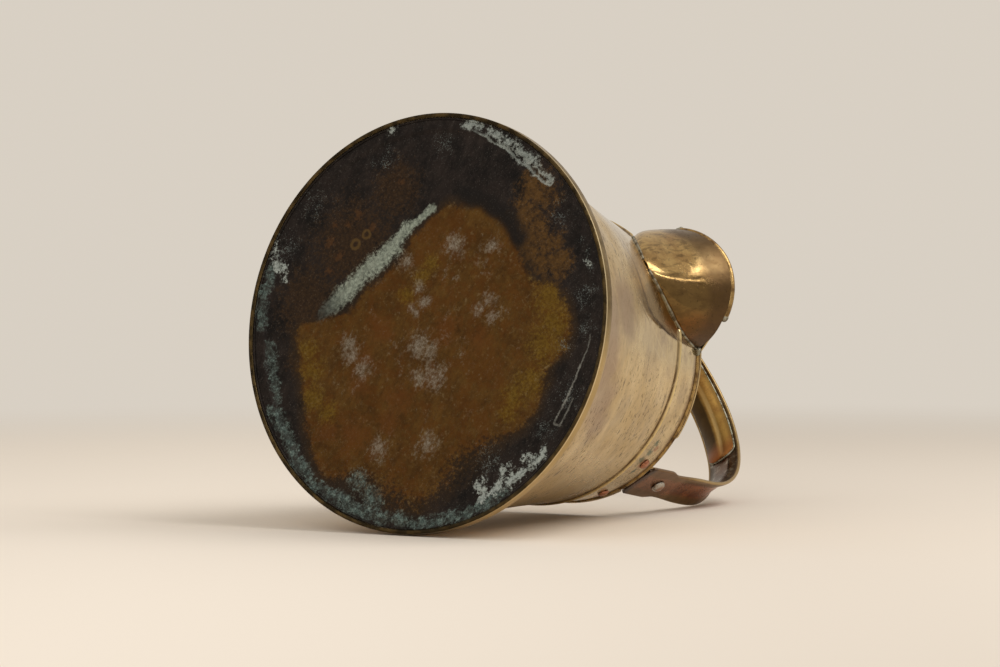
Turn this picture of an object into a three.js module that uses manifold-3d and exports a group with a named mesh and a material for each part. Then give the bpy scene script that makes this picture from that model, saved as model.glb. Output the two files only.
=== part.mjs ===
// Brass hot water can: a tapering can of sheet brass with a pouring spout soldered to its side, a half lid on a
// hinge across the mouth, and a strap bail handle that swings on two riveted ears.
// Millimetres, +Z up. The origin is the centre of the base where the can stands, +X points to the spout and
// +Y to the left ear.
import * as THREE from "three";
import { mergeVertices } from "three/addons/utils/BufferGeometryUtils.js";
import Module from "manifold-3d";

const wasm = await Module();
wasm.setup();

// Clearances: between seated pieces, and how far a cut runs past what it cuts
const seatGap = 0.3;
const cutMargin = 5;

// Facets
const roundSteps = 64;
const boreSteps = 12;
const pinSteps = 16;
const rivetSteps = 8;
const wireSteps = 6;

// Body: a waisted cone with a swaged bead, flared to the foot band. Depths are from its top edge down.
const bodyHeight = 170.4;
const bodyBaseRadius = 114;
const bodyTopRadius = 83.5;
const bodyWaist = 6.7;
const bodyWall = 1;
const beadDepth = 30.4;
const beadProud = 1.4;
const beadHalfWidth = 2.8;
const flareHeight = 12.7;
const lapHalfWidth = 4;
const lapProud = 0.5;

// Foot band and base
const footFlare = 6;
const footHeight = 7.5;
const footWall = 2.4;
const footRounding = 0.6;
const baseThickness = 1.2;
const baseRecess = 1.8;
const baseSeatWidth = 6.3;
const basePanelSlope = 3;
const basePanelRise = 0.8;

// Rim wire, cut back from the spout's corners
const rimWireRadius = 1.5;
const rimWireEndGap = 2.5;

// Spout: its seam on the body is a rounded V, its mouth has bowed sides and a round lip
const spoutProud = 33.4;
const spoutSeamDepth = 58;
const spoutSeamHalfWidth = 38.2;
const spoutToeRound = 0.04;
const spoutSeamFullness = 0.85;
const spoutWall = 1.2;
const spoutLipRadius = 40.4;
const spoutLipAngle = 55;
const spoutSideShare = 0.4;
const spoutSideBow = 2.8;
const spoutTipRise = 2.7;
const lipWireRadius = 2;
const lipBelowLid = 0.5;
const throatInset = 4.5;

// Ears: plates inside the wall that rise above the rim. Depths are from the body's top edge down.
const earThickness = 2;
const earDepth = 20.4;
const earTabHalfWidth = 23;
const earTabCorner = 3;
const earTabDepth = 5.4;
const earHalfWidth = 10.5;
const earJoggleFoot = 1;
const earJoggleHeight = 7;
const earRivetSpread = 16;
const earRivetDepth = 10.4;
const earRivetShank = 2;
const earRivetHead = 3.5;
const earRivetHeadHeight = 1.8;

// Pivots
const pivotRise = 31.1;
const pivotShank = 2.5;
const pivotHead = 4.3;
const pivotHeadHeight = 3;
const pivotTailHeight = 1.2;
const washerRadius = 5.5;
const washerThickness = 1;

// Bail strap: flat ends on the pivots, a waist above them, then a shallow trough over a semicircle
const strapThickness = 2;
const strapHalfWidth = 12.4;
const strapEyeHalfWidth = 13.3;
const strapWaistHalfWidth = 11;
const strapEndCorner = 3;
const strapEndClearance = 1.8;
const strapFlat = 11;
const strapShoulder = 29;
const strapDish = 2;
const bailStraight = 50;

// Underside of the grip, a strip that bulges towards the hand
const gripThickness = 1.3;
const gripBulge = 1.7;
const gripEndAngle = 39;
const gripArchAngle = 5.5;
const gripShare = 0.8;

// Rear cover and lid
const coverThickness = 1.2;
const coverOverhang = 0.8;
const coverSkirtHeight = 10;
const coverSkirtWall = 1;
const coverSkirtStart = 30;
const earNotchClearance = 1;
const lidSplit = 0.5;
const lidOverLip = 0.8;
const lidInsideLip = 3;
const panelInset = 9;
const panelRise = 1.1;

// Hinge
const hingeLength = 60;
const hingeKnuckles = 5;
const knuckleRadius = 2.6;
const hingePinRadius = 1.25;
const hingePinProud = 1;
const leafThickness = 1;
const leafReach = 16;
const leafRivetReach = 10;
const leafRivetSpread = 20;
const leafRivetShank = 1.2;
const leafRivetHead = 2.4;
const leafRivetHeadHeight = 1.1;

// Lid knob
const knobSetback = 33;
const knobHeight = 14;
const knobRadius = 7.5;
const knobTenon = 2;
const knobTenonBurr = 1;

// Levels and radii that follow from the sizes above
const footRadius = bodyBaseRadius + footFlare;
const footSheetRadius = footRadius - footWall - seatGap;
const bodyFootHeight = baseRecess + baseThickness + seatGap;
const beadHeight = bodyHeight - beadDepth;
const rimWireHeight = bodyHeight + seatGap + rimWireRadius;
const rimWirePath = bodyTopRadius - bodyWall / 2;
const rimTop = rimWireHeight + rimWireRadius;
const coverRadius = bodyTopRadius + coverOverhang;
const coverBottom = rimTop + seatGap;
const coverTop = coverBottom + coverThickness;
const hingeHeight = coverTop + seatGap + knuckleRadius;
const pivotHeight = bodyHeight + pivotRise;

const UP = new THREE.Vector3(0, 0, 1);
const ACROSS = new THREE.Vector3(0, 1, 0);
const degrees = THREE.MathUtils.degToRad;
const lerp = THREE.MathUtils.lerp;
const smooth = (x, from, to) => THREE.MathUtils.smoothstep(x, from, to);
const inOrder = (a, b) => (a < b ? [a, b] : [b, a]);

function steps(from, to, count) {
  return Array.from({ length: count + 1 }, (_, i) => from + ((to - from) * i) / count);
}

// Geometry helpers

// Merges the vertices of a closed surface and turns its faces outwards.
function closed(geometry) {
  const bare = new THREE.BufferGeometry();
  bare.setAttribute("position", geometry.getAttribute("position"));
  bare.setIndex(geometry.index);
  const merged = mergeVertices(bare, 1e-4);
  const p = merged.getAttribute("position");
  const corner = [0, 1, 2].map(() => new THREE.Vector3());
  const kept = [];
  let volume = 0;
  for (let i = 0; i < merged.index.count; i += 3) {
    const [a, b, c] = [0, 1, 2].map((k) => merged.index.getX(i + k));
    if (a === b || b === c || c === a) continue;
    kept.push(a, b, c);
    [a, b, c].forEach((v, k) => corner[k].fromBufferAttribute(p, v));
    volume += corner[0].dot(corner[1].cross(corner[2]));
  }
  if (volume < 0) kept.reverse();
  return merged.setIndex(kept);
}

function toSolid(geometry) {
  const g = closed(geometry);
  return new wasm.Manifold(
    new wasm.Mesh({
      numProp: 3,
      vertProperties: new Float32Array(g.getAttribute("position").array),
      triVerts: new Uint32Array(g.index.array),
    }),
  );
}

function toGeometry(solid) {
  const mesh = solid.getMesh();
  const g = new THREE.BufferGeometry();
  g.setAttribute("position", new THREE.BufferAttribute(new Float32Array(mesh.vertProperties), 3));
  return g.setIndex(new THREE.BufferAttribute(new Uint32Array(mesh.triVerts), 1));
}

function joined(...parts) {
  return toGeometry(parts.map(toSolid).reduce((a, b) => a.add(b)));
}

function cut(part, ...tools) {
  return toGeometry(tools.map(toSolid).reduce((a, b) => a.subtract(b), toSolid(part)));
}

// Turns a profile of [radius, height] points about the vertical axis.
function turned(profile, sides = roundSteps) {
  const points = profile.map(([r, z]) => new THREE.Vector2(r, z));
  return closed(new THREE.LatheGeometry(points, sides).rotateX(Math.PI / 2));
}

function turnedRing(profile, sides = roundSteps) {
  return turned([...profile, profile[0]], sides);
}

// A closed solid between a front and a back grid of points, each given by its row and column. Where it goes
// right round, its last row is its first.
function plate(rows, columns, front, back, goesRound = false) {
  const points = [];
  const index = [];
  const at = (side, i, j) => (side * (rows + 1) + i) * (columns + 1) + j;
  const quad = (a, b, c, d) => index.push(a, b, c, a, c, d);
  for (const face of [front, back])
    for (let i = 0; i <= rows; i++)
      for (let j = 0; j <= columns; j++) points.push(...face(i, j));
  for (let i = 0; i < rows; i++) {
    for (let j = 0; j < columns; j++) {
      quad(at(0, i, j), at(0, i + 1, j), at(0, i + 1, j + 1), at(0, i, j + 1));
      quad(at(1, i, j), at(1, i, j + 1), at(1, i + 1, j + 1), at(1, i + 1, j));
    }
    quad(at(0, i, 0), at(1, i, 0), at(1, i + 1, 0), at(0, i + 1, 0));
    quad(at(0, i, columns), at(0, i + 1, columns), at(1, i + 1, columns), at(1, i, columns));
  }
  for (let j = 0; j < columns && !goesRound; j++) {
    quad(at(0, 0, j), at(0, 0, j + 1), at(1, 0, j + 1), at(1, 0, j));
    quad(at(0, rows, j), at(1, rows, j), at(1, rows, j + 1), at(0, rows, j + 1));
  }
  const g = new THREE.BufferGeometry();
  g.setAttribute("position", new THREE.Float32BufferAttribute(points, 3));
  return closed(g.setIndex(index));
}

function wire(curve, radius, count) {
  const corners = steps(0.5, wireSteps - 0.5, wireSteps - 1).map((k) => {
    const a = (2 * Math.PI * k) / wireSteps;
    return new THREE.Vector2(radius * Math.cos(a), radius * Math.sin(a));
  });
  return closed(new THREE.ExtrudeGeometry(new THREE.Shape(corners), { steps: count, extrudePath: curve }));
}

function rod(point, direction, radius, halfLength, sides = boreSteps) {
  const turn = new THREE.Quaternion().setFromUnitVectors(ACROSS, direction);
  return new THREE.CylinderGeometry(radius, radius, 2 * halfLength, sides)
    .applyQuaternion(turn)
    .translate(...point);
}

function block([x0, x1], [y0, y1], [z0, z1]) {
  const box = new THREE.BoxGeometry(x1 - x0, y1 - y0, z1 - z0);
  return box.translate((x0 + x1) / 2, (y0 + y1) / 2, (z0 + z1) / 2);
}

// A rivet along the vertical, its head above zero and its burred tail below the grip.
function rivet({ shank, head, headHeight, tail, tailHeight, grip }) {
  const dome = (radius, foot, height) =>
    [0.5, 1].map((t) => {
      const a = (t * Math.PI) / 2;
      return [radius * Math.sin(a), foot + height * Math.cos(a)];
    });
  const profile = [
    [0, headHeight],
    ...dome(head, 0, headHeight),
    [shank, 0],
    [shank, -grip],
    ...dome(tail, -grip, -tailHeight).reverse(),
    [0, -grip - tailHeight],
  ];
  return turned(profile, rivetSteps);
}

function washer(inner, outer, thickness) {
  const profile = [
    [outer, 0],
    [outer, thickness],
    [inner, thickness],
    [inner, 0],
  ];
  return turnedRing(profile, pinSteps);
}

// Finishes

function finish(color, roughness, metalness = 1) {
  return new THREE.MeshStandardMaterial({ color, roughness, metalness });
}

const satinBrass = finish(0xb39a6b, 0.38);
const darkBrass = finish(0x7a5a2c, 0.32);
const brownBrass = finish(0x5c3f26, 0.45);
const goldBrass = finish(0xa8812f, 0.35);
const stainedBrass = finish(0x3b2a1c, 0.7, 0.6);
const copper = finish(0xb0674a, 0.4);
const wornIron = finish(0x9a9286, 0.35);

const can = new THREE.Group();

function add(name, geometry, material, group = can) {
  const mesh = new THREE.Mesh(closed(geometry), material);
  mesh.name = name;
  group.add(mesh);
  return mesh;
}

function place(mesh, point, direction) {
  mesh.position.copy(point);
  mesh.quaternion.setFromUnitVectors(UP, direction);
}

// Body

function coneRadius(z) {
  const u = z / bodyHeight;
  return lerp(bodyBaseRadius, bodyTopRadius, u) - bodyWaist * u * (1 - u);
}

// Half the width of the spout's seam at a share of its depth, counted up from the toe
function seamHalfWidth(share) {
  const rounded = Math.sqrt((share * (share + spoutToeRound)) / (1 + spoutToeRound));
  return spoutSeamHalfWidth * lerp(rounded, 1 - (1 - rounded) ** 3, spoutSeamFullness);
}

// The bead stops at the spout's seam and rises beside it over a bead's width.
const spoutToeHeight = bodyHeight - spoutSeamDepth;
const beadEnd = seamHalfWidth(1 - beadDepth / spoutSeamDepth) + 3 * seatGap;
const beadFade = [beadEnd, beadEnd + beadHalfWidth].map((y) => Math.asin(y / coneRadius(beadHeight)));

function bodyRadius(z, angle = Math.PI) {
  const flareTop = bodyFootHeight + flareHeight;
  const flare = Math.max(0, (flareTop - z) / flareHeight) ** 2;
  const toBead = Math.min(1, Math.abs(z - beadHeight) / beadHalfWidth);
  const bead = beadProud * Math.cos((toBead * Math.PI) / 2) ** 2 * smooth(Math.abs(angle), ...beadFade);
  return coneRadius(z) + bead + flare * (footSheetRadius - coneRadius(bodyFootHeight));
}

const bodyLevels = [
  ...steps(bodyFootHeight, bodyFootHeight + flareHeight, 3),
  ...steps(bodyFootHeight + flareHeight, beadHeight - beadHalfWidth, 3).slice(1),
  ...steps(beadHeight - beadHalfWidth, beadHeight + beadHalfWidth, 4).slice(1),
  bodyHeight,
];

const bodyAngles = [
  ...steps(-Math.PI, Math.PI, roundSteps),
  ...beadFade.flatMap((a) => [a, -a]),
].sort((a, b) => a - b);

function onBody(angle, z, out) {
  const radius = bodyRadius(z, angle) + out;
  return [radius * Math.cos(angle), radius * Math.sin(angle), z];
}

// Outward direction square to the wall at an angle and height
function wallNormal(angle, z) {
  const slope = coneRadius(z + 1) - coneRadius(z);
  return new THREE.Vector3(Math.cos(angle), Math.sin(angle), -slope).normalize();
}

function bodyBlank() {
  return plate(
    bodyAngles.length - 1,
    bodyLevels.length - 1,
    (i, j) => onBody(bodyAngles[i], bodyLevels[j], 0),
    (i, j) => onBody(bodyAngles[i], bodyLevels[j], -bodyWall),
    true,
  );
}

// Lapped seam up the back, from the flare to the rim, thinner at its edges
function backLap() {
  const levels = bodyLevels.slice(3);
  const angle = (i) => Math.PI + ((i - 1) * lapHalfWidth) / bodyTopRadius;
  return plate(
    2,
    levels.length - 1,
    (i, j) => onBody(angle(i), levels[j], i === 1 ? lapProud : lapProud * 0.6),
    (i, j) => onBody(angle(i), levels[j], -bodyWall / 2),
  );
}

// Spout: each height has the mouth's plan, narrowed to the seam and drawn in towards the wall

const spoutReach = bodyTopRadius + spoutProud;
const spoutMouthHeight = coverBottom - lipBelowLid - lipWireRadius;
const spoutSideTop = spoutMouthHeight - lipWireRadius - seatGap;
const lipCentre = spoutReach - spoutLipRadius;
const lipWirePath = spoutLipRadius - lipWireRadius;
const lipSheetRadius = lipWirePath + spoutWall / 2;
const seamCornerReach = Math.sqrt((bodyTopRadius + seatGap) ** 2 - spoutSeamHalfWidth ** 2);
const spoutRun = lipCentre + lipSheetRadius - seamCornerReach;
const lipCorner = {
  x: lipCentre + lipSheetRadius * Math.cos(degrees(spoutLipAngle)),
  y: lipSheetRadius * Math.sin(degrees(spoutLipAngle)),
};

const lipRise = (angle) => spoutTipRise * (1 - Math.abs(angle / degrees(spoutLipAngle)) ** 1.3);

// The mouth's plan for side from -1 to 1, as shares of the seam's half-width and of the spout's run: a bowed side
// from the seam to the lip, then the round lip
function mouthPlan(side) {
  const sign = Math.sign(side);
  const t = 1 - Math.abs(side);
  if (t < spoutSideShare) {
    const along = t / spoutSideShare;
    const bow = (4 * spoutSideBow * along * (1 - along)) / spoutSeamHalfWidth;
    return {
      across: sign * (lerp(1, lipCorner.y / spoutSeamHalfWidth, along) + bow),
      forward: (along * (lipCorner.x - seamCornerReach)) / spoutRun,
      rise: 0,
    };
  }
  const angle = degrees(spoutLipAngle) * (1 - (t - spoutSideShare) / (1 - spoutSideShare));
  return {
    across: (sign * lipSheetRadius * Math.sin(angle)) / spoutSeamHalfWidth,
    forward: (lipCentre + lipSheetRadius * Math.cos(angle) - seamCornerReach) / spoutRun,
    rise: lipRise(angle),
  };
}

// Draws a size in by the wall, and by less where it is small, so that the two faces never cross.
const drawnIn = (size, wall) => size ** 2 / (size + wall);

// A point of the spout's sheet: side goes round the mouth's plan and share goes up from the toe.
function onSpout(side, share, wall) {
  const plan = mouthPlan(side);
  const z = lerp(spoutToeHeight, spoutSideTop, share);
  const skin = coneRadius(z) + seatGap;
  const half = drawnIn(seamHalfWidth(share), wall);
  const reach = drawnIn(share * spoutRun, wall);
  return [
    Math.sqrt(skin ** 2 - half ** 2) + plan.forward * reach,
    plan.across * half,
    z + share * plan.rise,
  ];
}

function spoutSheet() {
  const rows = 20;
  const shares = steps(0.02, 1, 10);
  const face = (wall) => (i, j) => onSpout(1 - (2 * i) / rows, shares[j], wall);
  return plate(rows, shares.length - 1, face(0), face(spoutWall));
}

// Opening in the wall behind the spout, inset from the seam and open at the top
function throatCut() {
  const rows = 8;
  const levels = steps(spoutToeHeight + 2 * throatInset, bodyHeight + cutMargin, 10);
  const face = (out) => (i, j) => {
    const share = Math.min(1, (levels[j] - spoutToeHeight) / spoutSeamDepth);
    const narrowing = smooth(j, -2, 3);
    const across = ((2 * i) / rows - 1) * (seamHalfWidth(share) - throatInset) * narrowing;
    const radius = coneRadius(Math.min(levels[j], bodyHeight)) + out;
    return [Math.sqrt(radius ** 2 - across ** 2), across, levels[j]];
  };
  return plate(rows, levels.length - 1, face(cutMargin), face(-cutMargin));
}

class LipPath extends THREE.Curve {
  getPoint(t, target = new THREE.Vector3()) {
    const angle = degrees(spoutLipAngle) * (2 * t - 1);
    const x = lipCentre + lipWirePath * Math.cos(angle);
    return target.set(x, lipWirePath * Math.sin(angle), spoutMouthHeight + lipRise(angle));
  }
}

// Round the mouth's rim from one corner of the spout to the other
class RimPath extends THREE.Curve {
  getPoint(t, target = new THREE.Vector3()) {
    const end = Math.asin(spoutSeamHalfWidth / bodyTopRadius) + rimWireEndGap / bodyTopRadius;
    const angle = lerp(end, 2 * Math.PI - end, t);
    return target.set(rimWirePath * Math.cos(angle), rimWirePath * Math.sin(angle), rimWireHeight);
  }
}

// Ears and pivots: the ears' faces lie just inside the strap at the pivots and just inside the rim wire below

const strapOuter = bodyTopRadius;
const earOuter = strapOuter - strapThickness - seatGap;
const earInner = earOuter - earThickness;
const rimWireInner = rimWirePath - rimWireRadius - seatGap;
const earAtRim = Math.sqrt(rimWireInner ** 2 - earHalfWidth ** 2);
const earBottom = bodyHeight - earDepth;
const earTabTop = bodyHeight - earTabDepth;
const joggleBottom = rimTop + earJoggleFoot;
const joggleTop = joggleBottom + earJoggleHeight;

const earLevels = [
  ...steps(earBottom, earBottom + earTabCorner, 1),
  ...steps(earBottom + earTabCorner, earTabTop, 2).slice(1),
  ...steps(earTabTop, bodyHeight, 3).slice(1),
  ...steps(joggleBottom, joggleTop, 3),
  pivotHeight,
  ...[0.4, 0.7, 0.9, 0.98].map((share) => pivotHeight + share * earHalfWidth),
];

function earHalfWidthAt(z) {
  if (z > pivotHeight) return Math.sqrt(earHalfWidth ** 2 - (z - pivotHeight) ** 2);
  const tab = earTabHalfWidth - earTabCorner * (1 - smooth(z, earBottom, earBottom + earTabCorner));
  return lerp(tab, earHalfWidth, smooth(z, earTabTop, bodyHeight));
}

function earFace(x, z) {
  if (z > bodyHeight) return lerp(earAtRim, earOuter, smooth(z, joggleBottom, joggleTop));
  const wall = Math.sqrt((coneRadius(z) - bodyWall - seatGap) ** 2 - x ** 2);
  const bend = ((earAtRim - wall) * (z - earTabTop)) / earTabDepth;
  return z > earTabTop ? Math.min(wall, wall + bend) : wall;
}

function earPlate() {
  const rows = 6;
  const face = (inset) => (i, j) => {
    const z = earLevels[j];
    const x = ((2 * i) / rows - 1) * earHalfWidthAt(z);
    return [x, earFace(x, z) - inset, z];
  };
  return plate(rows, earLevels.length - 1, face(0), face(earThickness));
}

const earRivetHeight = bodyHeight - earRivetDepth;
const earRivetAngle = Math.asin(earRivetSpread / coneRadius(earRivetHeight));
const earRivetGrip = bodyWall + earThickness + 4 * seatGap;
const pivotGrip = strapThickness + earThickness + washerThickness + 4 * seatGap;
const pivotTailInner = strapOuter + seatGap - pivotGrip - pivotTailHeight;

function earRivetPoint(sign, out) {
  return new THREE.Vector3(...onBody(Math.PI / 2 + sign * earRivetAngle, earRivetHeight, out));
}

function earRivetAxis(sign) {
  return wallNormal(Math.PI / 2 + sign * earRivetAngle, earRivetHeight);
}

function earRivetBore(sign) {
  const halfLength = earRivetGrip + cutMargin;
  return rod(earRivetPoint(sign, 0), earRivetAxis(sign), earRivetShank + seatGap, halfLength);
}

const pivotBore = rod([0, 0, pivotHeight], ACROSS, pivotShank + seatGap, strapOuter + cutMargin);

// Bail: stations along the path from the right end over the top to the left end

const archHeight = pivotHeight + bailStraight;
const strapEnd = coverTop + strapEndClearance;
const dishFrom = pivotHeight + strapFlat;
const dishTo = dishFrom + strapShoulder;
const legLevels = [
  strapEnd,
  strapEnd + strapEndCorner,
  ...steps(pivotHeight, dishFrom, 2),
  ...steps(dishFrom, dishTo, 5).slice(1),
  archHeight,
];

// Each station gives a point of the strap's outer edge line and its outward direction in the YZ plane.
const bailStations = [
  ...legLevels.map((z) => ({ y: -strapOuter, z, ny: -1, nz: 0 })),
  ...steps(-90, 90, 26)
    .slice(1, -1)
    .map(degrees)
    .map((a) => ({
      y: strapOuter * Math.sin(a),
      z: archHeight + strapOuter * Math.cos(a),
      ny: Math.sin(a),
      nz: Math.cos(a),
    })),
  ...legLevels.map((z) => ({ y: strapOuter, z, ny: 1, nz: 0 })).reverse(),
];

function strapHalfWidthAt(z) {
  const corner = strapEndCorner * (1 - smooth(z, strapEnd, strapEnd + strapEndCorner));
  const eye = lerp(strapEyeHalfWidth - corner, strapWaistHalfWidth, smooth(z, pivotHeight, dishFrom));
  return lerp(eye, strapHalfWidth, smooth(z, dishFrom, dishTo));
}

// How far the strap's face lies inside its edges, at a share of its half-width
const strapSink = (z, across) => strapDish * smooth(z, dishFrom, dishTo) * (1 - across ** 2);

function bailStrap() {
  const rows = 6;
  const face = (inset) => (i, j) => {
    const { y, z, ny, nz } = bailStations[j];
    const across = (2 * i) / rows - 1;
    const out = -strapSink(z, across) - inset;
    return [across * strapHalfWidthAt(z), y + ny * out, z + nz * out];
  };
  return plate(rows, bailStations.length - 1, face(0), face(strapThickness));
}

// Underside of the grip: a bowed strip along the strap's inner face, with arched ends that come down to it
function gripStrip() {
  const rows = 6;
  const archFoot = gripEndAngle - gripArchAngle;
  const half = [...steps(0, archFoot, 7), ...steps(archFoot, gripEndAngle, 4).slice(1)];
  const angles = [...half.slice(1).map((a) => -a).reverse(), ...half];
  const strapInner = strapOuter - strapThickness - seatGap;
  const face = (inset) => (i, j) => {
    const a = degrees(angles[j]);
    const intoArch = Math.max(0, Math.abs(angles[j]) - archFoot) / gripArchAngle;
    const arch = Math.max(0.25, Math.sqrt(1 - intoArch ** 2));
    const across = (2 * i) / rows - 1;
    const bulge = gripBulge * arch * (1 - across ** 2);
    const radius = strapInner - strapSink(dishTo, across * arch * gripShare) - bulge - inset;
    return [across * arch * gripShare * strapHalfWidth, radius * Math.sin(a), archHeight + radius * Math.cos(a)];
  };
  return plate(rows, angles.length - 1, face(0), face(gripThickness));
}

// Rear cover and lid

const lidReach = lipCorner.x + lidOverLip;
const lidMostHalfWidth = pivotTailInner - 2 * seatGap;
const knobReach = lidReach - knobSetback;
const coverHalfWidthAt = (x) => Math.sqrt(coverRadius ** 2 - x ** 2);
const coverStations = steps(Math.asin(lidSplit / coverRadius), degrees(84), 10).map(
  (a) => -coverRadius * Math.sin(a),
);
const lidStations = [
  ...steps(lidSplit, seamCornerReach, 10),
  ...steps(seamCornerReach, lidReach, 4).slice(1),
];

// The lid follows the rim to the spout's corner, then narrows to the lip, and clears the pivots' tails.
function lidHalfWidthAt(x) {
  if (x < seamCornerReach) return Math.min(lidMostHalfWidth, coverHalfWidthAt(x));
  const along = (x - seamCornerReach) / (lidReach - seamCornerReach);
  return lerp(coverHalfWidthAt(seamCornerReach), lipCorner.y - lidInsideLip, along);
}

// A flat plate whose middle is pressed up a little inside a flat margin, which is wider under the hinge leaf
function pressedPlate(stations, halfWidthAt, farEnd) {
  const rows = 10;
  const face = (lift) => (i, j) => {
    const x = stations[j];
    const half = halfWidthAt(x);
    const y = ((2 * i) / rows - 1) * half;
    const margin = Math.min(half - Math.abs(y), farEnd - Math.abs(x));
    const pastLeaf = smooth(Math.abs(x), leafReach + 2 * seatGap, leafReach + panelInset);
    const rise = panelRise * smooth(margin, panelInset / 2, panelInset) * pastLeaf;
    return [x, y, coverBottom + lift + rise];
  };
  return plate(rows, stations.length - 1, face(coverThickness), face(0));
}

// A skirt under the rear cover, inside the rim wire
function coverSkirt() {
  const outer = rimWireInner - seatGap;
  const ends = Math.acos(coverSkirtStart / outer);
  const angles = steps(Math.PI - ends, Math.PI + ends, 20);
  const levels = [coverBottom - coverSkirtHeight, coverBottom + coverThickness / 2];
  const face = (radius) => (i, j) => [
    radius * Math.cos(angles[i]),
    radius * Math.sin(angles[i]),
    levels[j],
  ];
  return plate(angles.length - 1, 1, face(outer), face(outer - coverSkirtWall));
}

function earNotch(sign) {
  const half = earHalfWidth + earNotchClearance;
  const inner = sign * (earAtRim - earThickness - 2 * seatGap);
  const outer = sign * (coverRadius + cutMargin);
  return block([-half, half], inOrder(inner, outer), [coverBottom - cutMargin, coverTop + cutMargin]);
}

const leafRivetRows = [-leafRivetSpread, 0, leafRivetSpread];
const plateBore = (x, y, radius) => rod([x, y, coverTop], UP, radius + seatGap, 2 * cutMargin);
const leafRivetBores = (sign) => leafRivetRows.map((y) => plateBore(sign * leafRivetReach, y, leafRivetShank));

// Hinge: leaves on top of the plates, their knuckles taking turns along the pin

function hingeLeaf(sign, firstKnuckle) {
  const knuckle = hingeLength / hingeKnuckles;
  const half = (knuckle - seatGap) / 2;
  const leafBottom = coverTop + seatGap;
  const levels = [leafBottom, leafBottom + leafThickness];
  const clearOfKnuckles = sign * (knuckleRadius + 2 * seatGap);
  const pieces = [
    block(inOrder(clearOfKnuckles, sign * leafReach), [-hingeLength / 2, hingeLength / 2], levels),
  ];
  for (let k = firstKnuckle; k < hingeKnuckles; k += 2) {
    const middle = (k + 0.5) * knuckle - hingeLength / 2;
    const web = inOrder(0, clearOfKnuckles + sign * seatGap);
    pieces.push(rod([0, middle, hingeHeight], ACROSS, knuckleRadius, half, pinSteps));
    pieces.push(block(web, [middle - half, middle + half], levels));
  }
  const pinBore = rod([0, 0, hingeHeight], ACROSS, hingePinRadius + seatGap, hingeLength);
  return cut(joined(...pieces), pinBore, ...leafRivetBores(sign));
}

// Knob: a turned button on a flange, as shares of its radius and height, over a burred tenon
const knobShape = [
  [0, 1],
  [0.5, 0.97],
  [0.88, 0.85],
  [1, 0.68],
  [0.8, 0.5],
  [0.42, 0.38],
  [0.4, 0.22],
  [0.95, 0.1],
  [0.95, 0],
];

function lidKnob() {
  const foot = coverTop + seatGap;
  const tenonEnd = coverBottom - washerThickness - 2 * seatGap;
  const profile = [
    ...knobShape.map(([r, h]) => [r * knobRadius, foot + h * knobHeight]),
    [knobTenon, foot],
    [knobTenon, tenonEnd],
    [knobTenon + knobTenonBurr, tenonEnd],
    [knobTenon, tenonEnd - knobTenonBurr],
    [0, tenonEnd - knobTenonBurr],
  ];
  return turned(profile, pinSteps);
}

// Assembly: can, foot and rim

const earBores = [0, Math.PI].flatMap((turn) =>
  [-1, 1].map((sign) => earRivetBore(sign).applyMatrix4(new THREE.Matrix4().makeRotationZ(turn))),
);
add("body_shell", cut(joined(bodyBlank(), backLap()), throatCut(), ...earBores), satinBrass);

const footInner = footRadius - footWall;
const footProfile = [
  [footInner, footRounding],
  [footInner + footRounding, 0],
  [footRadius - footRounding, 0],
  [footRadius, footRounding],
  [footRadius, footHeight - footRounding],
  [footRadius - footRounding, footHeight],
  [footInner, footHeight],
];
add("foot_band", turnedRing(footProfile), darkBrass);

const basePanelFoot = footSheetRadius - baseSeatWidth;
const basePanelRadius = basePanelFoot - basePanelSlope;
const baseProfile = [
  [0, basePanelRise],
  [basePanelRadius, basePanelRise],
  [basePanelFoot, 0],
  [footSheetRadius, 0],
  [footSheetRadius, baseThickness],
  [basePanelFoot, baseThickness],
  [basePanelRadius, baseThickness + basePanelRise],
  [0, baseThickness + basePanelRise],
];
add("base_disc", turned(baseProfile), stainedBrass).position.z = baseRecess;
add("rim_wire", wire(new RimPath(), rimWireRadius, 54), brownBrass);

// Assembly: spout

add("spout_shell", spoutSheet(), darkBrass);
add("spout_lip_wire", wire(new LipPath(), lipWireRadius, 20), brownBrass);

// Assembly: on each side an ear with its rivets, pivot and washer. The right side is the left one turned round.

function addEarSide(side, turn, rivetEnds) {
  const group = new THREE.Group();
  group.rotation.z = turn;
  can.add(group);
  const ear = cut(earPlate(), earRivetBore(-1), earRivetBore(1), pivotBore);
  add(`ear_${side}`, ear, goldBrass, group);
  [-1, 1].forEach((sign, i) => {
    const earRivet = rivet({
      shank: earRivetShank,
      head: earRivetHead,
      headHeight: earRivetHeadHeight,
      tail: earRivetHead,
      tailHeight: 0.7 * earRivetHeadHeight,
      grip: earRivetGrip,
    });
    const mesh = add(`ear_rivet_${side}_${rivetEnds[i]}`, earRivet, copper, group);
    place(mesh, earRivetPoint(sign, seatGap), earRivetAxis(sign));
  });
  const pivotRivet = rivet({
    shank: pivotShank,
    head: pivotHead,
    headHeight: pivotHeadHeight,
    tail: 0.9 * pivotHead,
    tailHeight: pivotTailHeight,
    grip: pivotGrip,
  });
  const rivetMesh = add(`pivot_rivet_${side}`, pivotRivet, wornIron, group);
  place(rivetMesh, new THREE.Vector3(0, strapOuter + seatGap, pivotHeight), ACROSS);
  const pivotWasher = washer(pivotShank + seatGap, washerRadius, washerThickness);
  const washerMesh = add(`pivot_washer_${side}`, pivotWasher, brownBrass, group);
  place(washerMesh, new THREE.Vector3(0, earInner - seatGap - washerThickness, pivotHeight), ACROSS);
}

addEarSide("left", 0, ["front", "rear"]);
addEarSide("right", Math.PI, ["rear", "front"]);

// Assembly: bail handle

add("bail_strap", cut(bailStrap(), pivotBore), brownBrass);
add("grip_underside", gripStrip(), goldBrass);

// Assembly: rear cover, lid and hinge

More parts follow.
